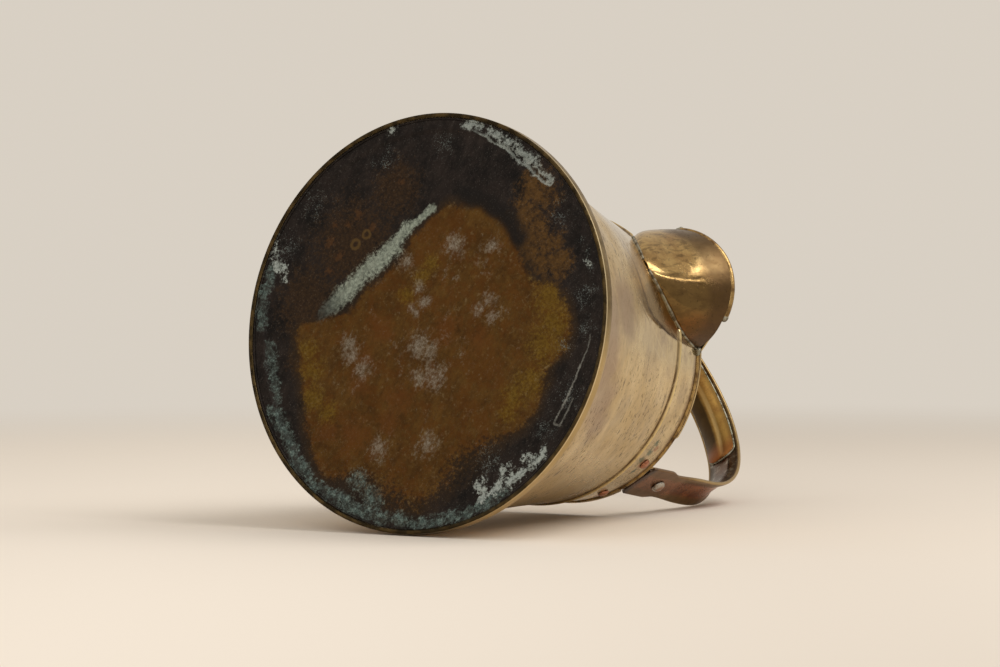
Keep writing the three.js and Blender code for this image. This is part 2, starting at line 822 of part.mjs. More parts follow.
const coverPlate = joined(pressedPlate(coverStations, coverHalfWidthAt, coverRadius), coverSkirt());
add("rear_cover", cut(coverPlate, earNotch(1), earNotch(-1), ...leafRivetBores(-1)), satinBrass);

const lidPlate = pressedPlate(lidStations, lidHalfWidthAt, lidReach);
add("front_lid", cut(lidPlate, plateBore(knobReach, 0, knobTenon), ...leafRivetBores(1)), satinBrass);

add("rear_hinge_leaf", hingeLeaf(-1, 0), goldBrass);
add("front_hinge_leaf", hingeLeaf(1, 1), goldBrass);
const hingePin = rod([0, 0, hingeHeight], ACROSS, hingePinRadius, hingeLength / 2 + hingePinProud);
add("hinge_pin", hingePin, brownBrass);

function addLeafRivets(leaf, sign) {
  leafRivetRows.forEach((y, i) => {
    const leafRivet = rivet({
      shank: leafRivetShank,
      head: leafRivetHead,
      headHeight: leafRivetHeadHeight,
      tail: leafRivetHead,
      tailHeight: leafRivetHeadHeight,
      grip: leafThickness + coverThickness + 3 * seatGap,
    });
    const mesh = add(`${leaf}_leaf_rivet_${i + 1}`, leafRivet, brownBrass);
    mesh.position.set(sign * leafRivetReach, y, coverTop + leafThickness + 2 * seatGap);
  });
}

addLeafRivets("rear", -1);
addLeafRivets("front", 1);

add("lid_knob", lidKnob(), goldBrass).position.set(knobReach, 0, panelRise);
const knobWasher = add("knob_washer", washer(knobTenon + seatGap, washerRadius, washerThickness), brownBrass);
knobWasher.position.set(knobReach, 0, coverBottom - seatGap - washerThickness + panelRise);

export default can;
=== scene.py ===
# Looks of a brass hot water can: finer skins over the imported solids, solder seams, and worn brass finishes.
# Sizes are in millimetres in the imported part's frame, and become metres when a mesh is made.
from functools import partialmethod
from math import acos, asin, copysign, cos, pi, radians, sin, sqrt

import bmesh
import bpy
import numpy as np
from mathutils import Matrix, Vector, noise
from numpy import linspace


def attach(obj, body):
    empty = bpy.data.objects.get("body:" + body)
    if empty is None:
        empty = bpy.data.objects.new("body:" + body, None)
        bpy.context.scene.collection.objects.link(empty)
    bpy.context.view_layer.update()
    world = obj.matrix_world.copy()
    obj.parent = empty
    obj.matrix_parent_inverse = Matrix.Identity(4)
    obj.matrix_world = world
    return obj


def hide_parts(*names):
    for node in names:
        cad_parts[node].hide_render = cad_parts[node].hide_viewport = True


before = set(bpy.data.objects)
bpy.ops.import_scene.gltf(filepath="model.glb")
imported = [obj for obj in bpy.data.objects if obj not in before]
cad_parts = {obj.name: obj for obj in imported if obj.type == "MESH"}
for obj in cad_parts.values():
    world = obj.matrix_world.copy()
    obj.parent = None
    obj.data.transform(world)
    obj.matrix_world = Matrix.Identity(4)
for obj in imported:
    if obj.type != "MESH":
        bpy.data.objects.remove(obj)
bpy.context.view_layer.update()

MM = 0.001

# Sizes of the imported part
body_height = 170.4
body_base_radius = 114
body_top_radius = 83.5
body_waist = 6.7
body_wall = 1
bead_height = 140
bead_proud = 1.4
bead_half_width = 2.8
flare_bottom = 3.3
flare_height = 12.7
foot_radius = 120
foot_wall = 2.4
foot_sheet_radius = 117.3
base_recess = 1.8
base_thickness = 1.2
base_panel_foot = 111
base_panel_slope = 3
base_panel_rise = 0.8
rim_wire_radius = 1.5
rim_wire_centre = 83
rim_wire_height = 172.2
rim_top = 173.7
seam_depth = 58
seam_half_width = 38.2
seam_toe = body_height - seam_depth
spout_side_top = 169.2
spout_wall = 1.2
lip_reach = 116.9
lip_radius = 40.4
lip_angle = radians(55)
lip_rise = 2.7
side_share = 0.4
side_bow = 2.8
lip_wire_radius = 2
mouth_height = 171.5
throat_inset = 4.5
ear_rivet_height = 160
ear_rivet_spread = 16
ear_radius = 10.5
ear_thickness = 2
pivot_height = 201.5
strap_outer = 83.5
strap_end = 177
strap_half_width = 12.4
strap_eye_half = 13.3
strap_waist_half = 11
strap_dish = 2
strap_thickness = 2
dish_from = 212.5
dish_to = 241.5
arch_height = 251.5
cover_radius = 84.3
cover_bottom = 174
cover_thickness = 1.2
hinge_height = 178.1
gap = 0.3  # between any two pieces


def lerp(a, b, t):
    return a + (b - a) * t


def smooth(x, lo, hi):
    """0 up to lo, 1 from hi on, and a soft rise between, for numbers, arrays and sockets."""
    if isinstance(x, Value):
        return x.nodes.node("MapRange", {0: x, 1: lo, 2: hi}, interpolation_type="SMOOTHSTEP")
    t = np.minimum(1, np.maximum(0, (x - lo) / (hi - lo)))
    return t * t * (3 - 2 * t)


def fall(x, hi, lo):
    return 1 - smooth(x, hi, lo)


def within(x, full, end):
    """1 up to full on either side of 0, and 0 from end on."""
    return fall(abs(x), full, end)


# Meshes


def wobble(point, scale, seed=0):
    """Smooth noise from -1 to 1 at a point, with features about scale millimetres across."""
    return noise.noise(Vector(point) / scale + Vector((seed, seed * 1.7, seed * 0.3)))


def polar(radius, angle, z):
    return (radius * cos(angle), radius * sin(angle), z)


def turn_round(count):
    return linspace(0, 2 * pi, count, endpoint=False)


def steps(*runs):
    """A rising list of numbers from runs of (first, last, count)."""
    return np.unique(np.concatenate([linspace(*run) for run in runs]))


def add(name, data):
    made = bpy.data.objects.new(name, data)
    bpy.context.collection.objects.link(made)
    return made


def solid(name, points, faces, sharp=35, bevel=0):
    data = bpy.data.meshes.new(name)
    data.from_pydata([tuple(p * MM) for p in np.asarray(points, float)], [], faces)
    bm = bmesh.new()
    bm.from_mesh(data)
    bmesh.ops.remove_doubles(bm, verts=bm.verts, dist=2e-6)
    bmesh.ops.dissolve_degenerate(bm, edges=bm.edges, dist=1e-6)
    bmesh.ops.recalc_face_normals(bm, faces=bm.faces)
    for face in bm.faces:
        face.smooth = True
    bm.to_mesh(data)
    bm.free()
    data.set_sharp_from_angle(angle=radians(sharp))
    piece = add(name, data)
    if bevel:
        rounding = piece.modifiers.new("rounding", "BEVEL")
        rounding.width = bevel * MM
        rounding.segments = 2
        rounding.limit_method = "ANGLE"
        rounding.angle_limit = radians(50)
    return piece


def grid_faces(rows, columns, start=0, wrap=False, ring=False):
    """Faces of a grid of points. wrap joins its last row to the first, and ring its last column."""
    faces = []
    for i in range(rows if wrap else rows - 1):
        for j in range(columns if ring else columns - 1):
            k, n = (i + 1) % rows, (j + 1) % columns
            faces.append(tuple(start + r * columns + c for r, c in ((i, j), (k, j), (k, n), (i, n))))
    return faces


def sheet(name, rows, columns, place, thickness, wrap=False, sharp=35, bevel=0):
    """A closed sheet. place gives its point for a row, a column and a depth. With wrap the rows go right round."""
    points = [place(r, c, depth) for depth in (0, thickness) for r in rows for c in columns]
    size = len(rows), len(columns)
    half = len(points) // 2
    faces = grid_faces(*size, 0, wrap) + [face[::-1] for face in grid_faces(*size, half, wrap)]
    at = np.arange(half).reshape(size)
    rims = [at[:, 0], at[:, -1]] if wrap else [[*at[:-1, 0], *at[-1, :-1], *at[:0:-1, -1], *at[0, :0:-1]]]
    for rim in rims:
        faces += [(a, b, b + half, a + half) for a, b in zip(rim, np.roll(rim, -1))]
    return solid(name, points, faces, sharp, bevel)


def lathe(name, profile, sides=96, place=Matrix(), rough=0, sharp=35, ring=False, bevel=0):
    """Turns a profile of (radius, height) about the vertical, then moves it by the matrix place."""
    grain = max(2, np.abs(profile).max() * 0.6)
    points = [Vector(polar(r, a, z)) for a in turn_round(sides) for r, z in profile]
    points = [place @ (p * (1 + rough * wobble(p, grain, 3))) for p in points]
    return solid(name, points, grid_faces(sides, len(profile), 0, True, ring), sharp, bevel)


def tube(name, path, radius, sides=12, closed=False):
    """A round bar along a path. radius is a number or one number per point."""
    path = np.asarray(path, float)
    count = len(path)
    ahead, behind = np.roll(path, -1, 0), np.roll(path, 1, 0)
    if not closed:
        ahead[-1], behind[0] = path[-1], path[0]
    points = []
    side = None
    for middle, along, r in zip(path, ahead - behind, np.broadcast_to(radius, count)):
        along = along / np.linalg.norm(along)
        side = np.cross(along, [0.31, 0.22, 0.92]) if side is None else side
        side = side - along * (side @ along)
        side = side / np.linalg.norm(side)
        over = np.cross(side, along)
        points += [middle + r * (cos(a) * side + sin(a) * over) for a in turn_round(sides)]
    faces = grid_faces(count, sides, 0, closed, True)
    if not closed:
        faces += [tuple(range(sides)), tuple((count - 1) * sides + m for m in reversed(range(sides)))]
    return solid(name, points, faces, 60)


def blob(name, centre, radius, squash, seed, bumps):
    bm = bmesh.new()
    bmesh.ops.create_icosphere(bm, subdivisions=3, radius=radius)
    swollen = [np.array(v.co) * (1 + bumps * wobble(v.co / radius, 0.9, seed)) for v in bm.verts]
    points = [centre + p * squash for p in swollen]
    faces = [tuple(v.index for v in f.verts) for f in bm.faces]
    bm.free()
    return solid(name, points, faces, 80)


def join(name, *pieces):
    """Makes one piece of several that share a finish."""
    bm = bmesh.new()
    for piece in pieces:
        bm.from_mesh(piece.data)
        bpy.data.objects.remove(piece)
    data = bpy.data.meshes.new(name)
    bm.to_mesh(data)
    bm.free()
    return add(name, data)


def slab(name, x, y, bottom, thickness):
    return sheet(name, x, y, lambda a, b, depth: (a, b, bottom + depth), thickness)


def facing(point, direction):
    """A matrix that stands a turned piece on a point, along a direction."""
    turn = Vector(direction).to_track_quat("Z", "Y").to_matrix().to_4x4()
    return Matrix.Translation(Vector(point)) @ turn


def fit(piece, finish, *nodes, body="can"):
    """Puts a finish on a piece, and the piece on its body, in place of the solids of any nodes."""
    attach(piece, body)
    if nodes:
        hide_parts(*nodes)
    piece.data.materials.clear()
    piece.data.materials.append(finish)


# Finishes: a small language for shader maths


class Value:
    """An output socket. Arithmetic on it adds Math nodes."""

    def __init__(self, nodes, socket):
        self.nodes, self.socket = nodes, socket

    def math(self, operation, *others):
        return self.nodes.node("Math", {0: self, **dict(enumerate(others, 1))}, operation=operation)

    def __rsub__(self, other):
        return self.nodes.node("Math", {0: other, 1: self}, operation="SUBTRACT")

    def cos(self):
        """numpy's cosine calls this one."""
        return self.math("COSINE")

    __add__ = __radd__ = partialmethod(math, "ADD")
    __sub__ = partialmethod(math, "SUBTRACT")
    __mul__ = __rmul__ = partialmethod(math, "MULTIPLY")
    __truediv__ = partialmethod(math, "DIVIDE")
    __pow__ = partialmethod(math, "POWER")
    __abs__ = partialmethod(math, "ABSOLUTE")


def most(first, *others):
    for other in others:
        first = first.math("MAXIMUM", other)
    return first


class Nodes:
    """The nodes of a material or of the world."""

    def __init__(self, owner):
        owner.use_nodes = True
        self.tree = owner.node_tree
        self.tree.nodes.clear()

    def node(self, kind, inputs=None, out=0, **settings):
        made = self.tree.nodes.new("ShaderNode" + kind)
        for key, setting in settings.items():
            setattr(made, key, setting)
        for key, value in (inputs or {}).items():
            if isinstance(value, Value):
                self.tree.links.new(value.socket, made.inputs[key])
            elif value is not None:
                made.inputs[key].default_value = value
        return Value(self, made.outputs[out]) if made.outputs else None


class Paint(Nodes):
    """One material. Its colour is built up in layers, as linear light."""

    def __init__(self, name):
        self.material = bpy.data.materials.new(name)
        super().__init__(self.material)
        self.place = self.vector("SCALE", self.node("TexCoord", out="Object"), size=1 / MM)
        split = self.node("SeparateXYZ", {0: self.place}).socket.node.outputs
        self.x, self.y, self.z = [Value(self, axis) for axis in split]

    def vector(self, operation, a, b=None, c=None, size=None, out=0):
        return self.node("VectorMath", {0: a, 1: b, 2: c, 3: size}, out, operation=operation)

    def noise(self, size, detail=4, rough=0.55, cut=None, at=None, shift=0, out=0):
        """Noise from 0 to 1 with features about size millimetres across. cut is what becomes 0 and 1 of it."""
        at = self.vector("ADD", at or self.place, (shift, shift * 0.7, -shift))
        inputs = {"Vector": at, "Scale": 1 / size, "Detail": detail, "Roughness": rough}
        made = self.node("TexNoise", inputs, out)
        return smooth(made, *cut) if cut else made

    def drift(self, reach, *look, **where):
        """Noise from -reach / 2 to reach / 2."""
        return (self.noise(*look, **where) - 0.5) * reach

    def mix(self, share, a, b):
        a, b = [c if isinstance(c, Value) else (*c, 1) for c in (a, b)]
        return self.node("Mix", {0: share, 6: a, 7: b}, out=2, data_type="RGBA")

    def start(self, share, a, b):
        self.colour = self.mix(share, a, b)

    def lay(self, share, tint, other=None, by=None):
        """Lays a tint over the colour. With other it runs to that one, by a share of its own."""
        self.colour = self.mix(share, self.colour, self.mix(by, tint, other) if other else tint)

    def scaled(self, x, y, z, at=None):
        """A place with its axes scaled, for streaks."""
        return self.vector("MULTIPLY", at or self.place, (x, y, z))

    def turned(self, angle, at=None):
        return self.node("VectorRotate", {"Vector": at or self.place, "Angle": angle}, rotation_type="Z_AXIS")

    def from_axis(self):
        return (self.x * self.x + self.y * self.y) ** 0.5

    def round_can(self):
        """The angle about the can's axis, and the place on the wall laid flat, in millimetres."""
        angle = self.y.math("ARCTAN2", self.x)
        flat = self.node("CombineXYZ", {0: angle * WALL_ARC, 1: self.z, 2: self.from_axis() * 0.2})
        return angle, flat

    def scratches(self, at, spacing, tilt, width=0.02, shift=0):
        """Thin straight scratches that break off at random."""
        lines = self.scaled(1, 0.05, 1, self.turned(tilt, at))
        inputs = {"Vector": lines, "Scale": 1 / spacing}
        edge = self.node("TexVoronoi", inputs, feature="DISTANCE_TO_EDGE")
        gaps = self.noise(spacing * 1.5, 2, at=at, shift=shift + 9, cut=(0.52, 0.6))
        return fall(edge, 0, width) * gaps

    def fade(self, size, *between):
        """1 where two places meet, and 0 where they are size apart or more."""
        away = self.vector("DISTANCE", *between, out="Value")
        return self.node("MapRange", {0: away, 1: 0, 2: size, 3: 1, 4: 0})

    def near(self, at, *spots):
        """1 in the middle of a spot (x, y, size), and 0 at its edge."""
        return most(*[self.fade(size, at, (x, y, 0)) for x, y, size in spots])

    def trail(self, at, size, *points):
        """1 on the line through the points, and 0 at size from it."""
        shares = []
        for (ax, ay), (bx, by) in zip(points, points[1:]):
            run = Vector((bx - ax, by - ay, 0))
            offset = self.vector("SUBTRACT", at, (ax, ay, 0))
            along = self.vector("DOT_PRODUCT", offset, run / run.length_squared, out="Value")
            along = self.node("Math", {0: along, 1: 0}, operation="ADD", use_clamp=True)
            shares.append(self.fade(size, offset, self.vector("SCALE", run, size=along)))
        return most(*shares)

    def layer(self, name):
        """A number that is written on the mesh."""
        return self.node("Attribute", out="Fac", attribute_name=name)

    def warped(self, at, *drifts):
        """A place moved about by noise, each drift (size, reach) in millimetres, with z left out."""
        back = -0.5 * sum(reach for size, reach in drifts)
        at = self.vector("MULTIPLY_ADD", at, (1, 1, 0), (back, back, 0))
        for size, reach in drifts:
            drift = self.noise(size, 3, out="Color", shift=reach)
            at = self.vector("MULTIPLY_ADD", drift, (reach, reach, 0), at)
        return at

    def metal(self, roughness, bump, metallic=1):
        normal = self.node("Bump", {"Strength": 1, "Distance": MM, "Height": bump})
        inputs = {"Base Color": self.colour, "Roughness": roughness, "Metallic": metallic, "Normal": normal}
        self.node("OutputMaterial", {"Surface": self.node("BsdfPrincipled", inputs)})
        return self.material


DEGREES = 57.3
WALL_ARC = 95  # millimetres of the wall laid flat for each radian
STRETCH = (0.34, 0.66)  # noise keeps near 0.5, and this spreads it from 0 to 1


def wall_finish():
    """Satin brass with pinkish and brown clouds and fine dark pits; painted light: a warm painted reflection on
    the left, painted shade under the bead and the rim wire, a painted highlight on the bead's crest, and the
    spout's reflection painted as a brown line beside it.
    """
    p = Paint("satin_brass_wall")
    angle, flat = p.round_can()
    degrees = angle * DEGREES
    clouds = p.noise(34, 4, 0.6, STRETCH)
    p.start(clouds, (0.7, 0.55, 0.31), (0.57, 0.42, 0.205))
    around = p.scaled(0.4, 1, 1, flat)
    # pinkish grey cloud low on the left, and small ones all round
    blush = p.near(p.warped(flat, (20, 26)), (56, 28, 30), (74, 30, 26), (92, 38, 26), (104, 48, 20), (40, 52, 26))
    blush = most(smooth(blush, 0.1, 0.7), p.noise(22, 5, 0.6, (0.56, 0.76), shift=11) * 0.7)
    p.lay(blush * 0.7, (0.35, 0.245, 0.185))
    # brown streaks, smudges and smears
    p.lay(p.noise(9, 5, 0.65, (0.48, 0.72), around, 3) * 0.5, (0.36, 0.26, 0.16))
    p.lay(p.noise(17, 4, 0.6, (0.46, 0.66), around, 37) * 0.4, (0.42, 0.32, 0.2))
    smears = p.noise(30, 3, cut=(0.5, 0.68), shift=27) * p.noise(5, 4, 0.7, (0.45, 0.7), around, 31)
    p.lay(smears * 0.5, (0.3, 0.21, 0.105))
    # painted reflection: olive on the left, and golden low down in it, standing in for the warm light the floor
    # reflects there
    p.lay(smooth(degrees, 62, 100) * fall(degrees, 120, 160) * 0.6, (0.49, 0.35, 0.13))
    low = smooth(degrees, 84, 104) * fall(degrees, 116, 150) * fall(p.z, 30, 80)
    p.lay(low * 0.7, (0.82, 0.58, 0.25))
    # fine dark pits, drawn out along the turning
    grime = p.noise(40, 2, cut=(0.4, 0.62), shift=27)
    pits = p.noise(1.5, 3, 0.75, (0.56, 0.66), around) * (0.3 + 0.7 * grime)
    flecks = p.noise(2.8, 2, 0.5, (0.63, 0.71), around, 61) * grime
    p.lay(most(pits * 0.75, flecks * 0.9), (0.1, 0.065, 0.035))
    # painted shade as a dark line under the bead, and a painted highlight along its crest
    from_crest = p.z - bead_line(angle)
    patchy = p.noise(15, 3, cut=(0.3, 0.6), shift=5)
    p.lay(within(from_crest + 2.4, 0.4, 1.5) * (0.55 + 0.4 * patchy), (0.1, 0.055, 0.02))
    p.lay(within(from_crest - 0.1, 0.4, 1.5) * 0.75, (0.78, 0.6, 0.27))
    # green and rust by the ear's rivets
    greened = p.near(p.warped(flat, (6, 8)), (121, 153, 9), (114, 154, 7), (128, 151, 7), (139, 156, 5))
    greened = smooth(greened + p.drift(2.4, 3, 5, 0.75, shift=19), 0.3, 0.9)
    p.lay(greened * 0.8, (0.055, 0.095, 0.045))
    rusty = p.near(p.warped(flat, (5, 6)), (133, 158, 5), (174, 163, 5), (118, 158, 4))
    p.lay(smooth(rusty, 0.2, 0.7) * 0.7, (0.4, 0.17, 0.08))
    # the spout's edge reflected in the wall, painted as a brown line round the spout
    beside = p.node("CombineXYZ", {0: abs(angle) * WALL_ARC, 1: p.z})
    spout_reflection_line = p.trail(p.warped(beside, (14, 3)), 3.2, (0, 86), (24, 88), (33, 92), (38, 101), (43, 122), (45, 150))
    p.lay(smooth(spout_reflection_line, 0.35, 0.95) * (0.35 + 0.4 * patchy), (0.15, 0.09, 0.045))
    # painted shade: darker brown just under the rim wire
    rim = smooth(p.z, 165, 170)
    p.lay(rim * 0.75, (0.15, 0.075, 0.03))
    foot = fall(p.z, 7.5, 15)
    p.lay(foot * 0.5 * p.noise(12, 4, cut=(0.2, 0.6), shift=8), (0.28, 0.18, 0.08))
    # scratches: one long one up the left, and fine ones all round
    long_one = smooth(p.trail(flat, 0.9, (119.5, 32), (120.4, 80), (121.6, 118)), 0.3, 0.8)
    fine = p.scratches(flat, 26, 0.5, 0.022) + p.scratches(flat, 19, -1.1, shift=40) * 0.7
    p.lay(fine * 0.22, (0.8, 0.66, 0.42))
    p.lay(long_one * 0.8, (0.1, 0.06, 0.03))
    above_flare = most(1 - (p.z - flare_bottom) / flare_height, 0)
    inside = fall(p.from_axis() - (cone_radius(p.z) + above_flare * above_flare * 4.9), -0.75, -0.35)
    p.lay(inside, (0.1, 0.085, 0.06), (0.24, 0.2, 0.14), p.noise(14, 5, 0.6))
    by_spout = fall(abs(angle), 0.45, 0.8) * smooth(p.z, 60, 100)
    rough = 0.26 - 0.24 * by_spout + 0.1 * clouds * (1 - by_spout) + 0.2 * pits + 0.1 * blush
    rough = rough + inside * 0.2 + rim * 0.1
    bump = 0.2 * p.noise(55, 2, shift=2) - 0.03 * pits - 0.012 * fine - 0.05 * long_one + 0.005 * p.noise(0.7, 3)
    return p.metal(rough, bump)


def brass(name, clean, tarnish, size=12, share=(0.4, 0.7), rough=(0.24, 0.45), dirt=0.5):
    """Paint, roughness and bump of worn brass: clouds of tarnish, dark pits and fine scratches."""
    p = Paint(name)
    clouds = p.noise(size, 5, 0.6, share)
    p.start(clouds, clean, tarnish)
    shade = p.noise(size * 0.35, 4, 0.6, shift=7)
    dark = tuple(0.35 * c for c in tarnish)
    p.lay(smooth(shade, 0.5, 0.75) * dirt, dark)
    pits = p.noise(1.1, 3, 0.7, (0.64, 0.72), shift=4)
    p.lay(pits * 0.6 * dirt, dark)
    fine = p.scratches(p.place, 14, 0.3) + p.scratches(p.place, 11, 1.4, shift=21)
    p.lay(fine * 0.3, clean)
    roughness = rough[0] + (rough[1] - rough[0]) * clouds + 0.15 * pits + 0.1 * shade
    bump = 0.08 * p.noise(9, 3, shift=2) - 0.03 * pits - 0.01 * fine + 0.005 * p.noise(0.6, 2)
    return p, roughness, bump


def plain_brass(*look):
    p, rough, bump = brass(*look)
    return p.metal(rough, bump)


def foot_finish():
    """Olive brown outside, nearly black on the edge it stands on, with a painted highlight on the rounded edge
    between them and another on its top edge.
    """
    p, rough, bump = brass("foot_brass", (0.26, 0.185, 0.085), (0.15, 0.1, 0.04), 18, (0.35, 0.7))
    angle, flat = p.round_can()
    rubbed = within(angle * DEGREES - 72 + p.drift(30, 16), 22, 46)
    p.lay(rubbed * 0.85, (0.42, 0.29, 0.12), (0.64, 0.47, 0.22), p.noise(9))
    under = fall(p.z + p.drift(0.5, 6), 0.35, 0.85)
    p.lay(under * 0.95, (0.018, 0.013, 0.007), (0.085, 0.056, 0.022), p.noise(8, 5, cut=(0.4, 0.65)))
    # painted highlight along the rounded lower edge, brighter towards +x where the light falls
    worn = within(p.z - 1.25, 0.15, 0.55)
    p.lay(worn * (0.25 + 0.65 * smooth(p.x, -20, 60)), (0.72, 0.6, 0.38))
    # painted highlight along the top edge
    p.lay(smooth(p.z, 6.6, 7.3) * 0.6, (0.62, 0.46, 0.2))
    return p.metal(rough + 0.15 * under, bump)


def spout_finish():
    """Golden brown on its right and under its toe; dark brown on its left as a painted dark reflection, and
    painted darker toward the lip; orange by the left corner.
    """
    clean, tarnish = (0.56, 0.385, 0.16), (0.36, 0.22, 0.085)
    p, rough, bump = brass("spout_brass", clean, tarnish, 14, (0.35, 0.65), (0.03, 0.09), 0.35)
    drift = p.drift(14, 15, 4, 0.6, shift=12)
    # painted reflection: dark brown on the left, standing in for a darker room reflected there
    brown = smooth(p.y + drift, 5, 11)
    p.lay(brown, (0.11, 0.066, 0.024), (0.22, 0.135, 0.048), p.noise(9, 5, 0.65, shift=15))
    orange = smooth(p.y + drift * 0.6, 26, 35)
    p.lay(orange * 0.8, (0.13, 0.05, 0.016), (0.24, 0.105, 0.032), p.noise(5, 4, 0.6))
    # painted shade: darker brown toward the lip, dimming the reflections there
    by_lip = smooth(p.z + drift * 0.5, 148, 160)
    p.lay(by_lip * 0.85, (0.045, 0.027, 0.013), (0.12, 0.068, 0.03), p.noise(7, 4, shift=22))
    mottles = p.noise(7, 5, 0.7, (0.46, 0.62), p.scaled(1, 1.6, 0.5), 29)
    p.lay(mottles * 0.6, (0.1, 0.058, 0.022))
    dots = p.noise(2.2, 3, 0.6, (0.61, 0.7), shift=33)
    p.lay(dots * 0.7, (0.045, 0.027, 0.012))
    return p.metal(rough + 0.2 * dots + 0.06 * orange + 0.2 * by_lip, bump * 0.6)


def strap_finish():
    """Coppery in the trough and olive brown on the rolled edges, a painted reflection of the lit floor and of a
    darker room; a painted highlight on the outer edges of the arch; darker on the inner face.
    """
    p, rough, bump = brass("strap_brass", (0.5, 0.185, 0.05), (0.26, 0.095, 0.03), 12, (0.35, 0.65), (0.15, 0.26))
    out = abs(p.x)
    # painted reflection: the edges are painted dark olive brown and the trough left coppery, as the trough
    # reflects the lit floor and the edges a darker room
    edge = smooth(out + p.drift(3, 8, 4, 0.6, shift=12), 4.5, 8.5)
    p.lay(edge * 0.8, (0.11, 0.07, 0.026), (0.3, 0.21, 0.08), p.noise(5))
    eye = fall(p.z + p.drift(10, 9, 3), 206, 226)
    p.lay(eye * 0.6, (0.1, 0.055, 0.03), (0.24, 0.13, 0.065), p.noise(6, 5, 0.65, shift=9))
    # painted highlight along the outer edges of the arch
    p.lay(smooth(out, 11, 12.2) * smooth(p.z, 212, 240) * 0.7, (0.5, 0.35, 0.15))
    tip = fall(p.z + p.drift(4, 5, 3), 178, 184)
    p.lay(tip * 0.75, (0.03, 0.028, 0.03))
    # a pale film on the inner face of the arch
    arch = p.node("CombineXYZ", {0: 0, 1: p.y, 2: (p.z - arch_height).math("MAXIMUM", 0)})
    reach = p.vector("LENGTH", arch, out="Value")
    sink = strap_dish * smooth(p.z, dish_from, dish_to) * fall(out, 3.7, 11.5)
    lined = fall(reach + sink, strap_outer - 1.3, strap_outer - 0.9)
    lined = lined * smooth(p.z, 205, 240) * (1 - 0.75 * smooth(out, 10.4, 11.4))
    p.lay(lined * 0.85, (0.05, 0.035, 0.025), (0.27, 0.26, 0.22), p.noise(9, 5, 0.65, (0.5, 0.66), shift=41))
    return p.metal(rough + 0.1 * edge, bump)


def grip_finish():
    """Golden on the flank towards the spout with a painted highlight on its crest, dark brown on the rear one as a
    painted dark reflection, orange at the ends.
    """
    p, rough, bump = brass("grip_brass", (0.42, 0.25, 0.068), (0.3, 0.16, 0.046), 11, (0.4, 0.7), (0.3, 0.4), 0.25)
    drift = p.drift(4, 12, 4, 0.6, shift=12)
    # painted reflection: the rear flank is painted dark brown, as it reflects the can's shaded body
    rear = fall(p.x + drift * 0.4, -1.5, 1.8)
    p.lay(rear * 0.94, (0.02, 0.012, 0.006), (0.065, 0.038, 0.015), p.noise(6))
    # painted highlight along the crest
    p.lay(within(p.x - 2.6, 0.5, 2) * 0.6, (0.74, 0.54, 0.24))
    p.lay(smooth(p.x + drift * 0.5, 7.4, 9.6) * 0.6, (0.16, 0.095, 0.03))
    p.lay(smooth(abs(p.y) + drift * 2, 33, 46) * 0.7, (0.3, 0.1, 0.03))
    return p.metal(rough, bump * 0.6)


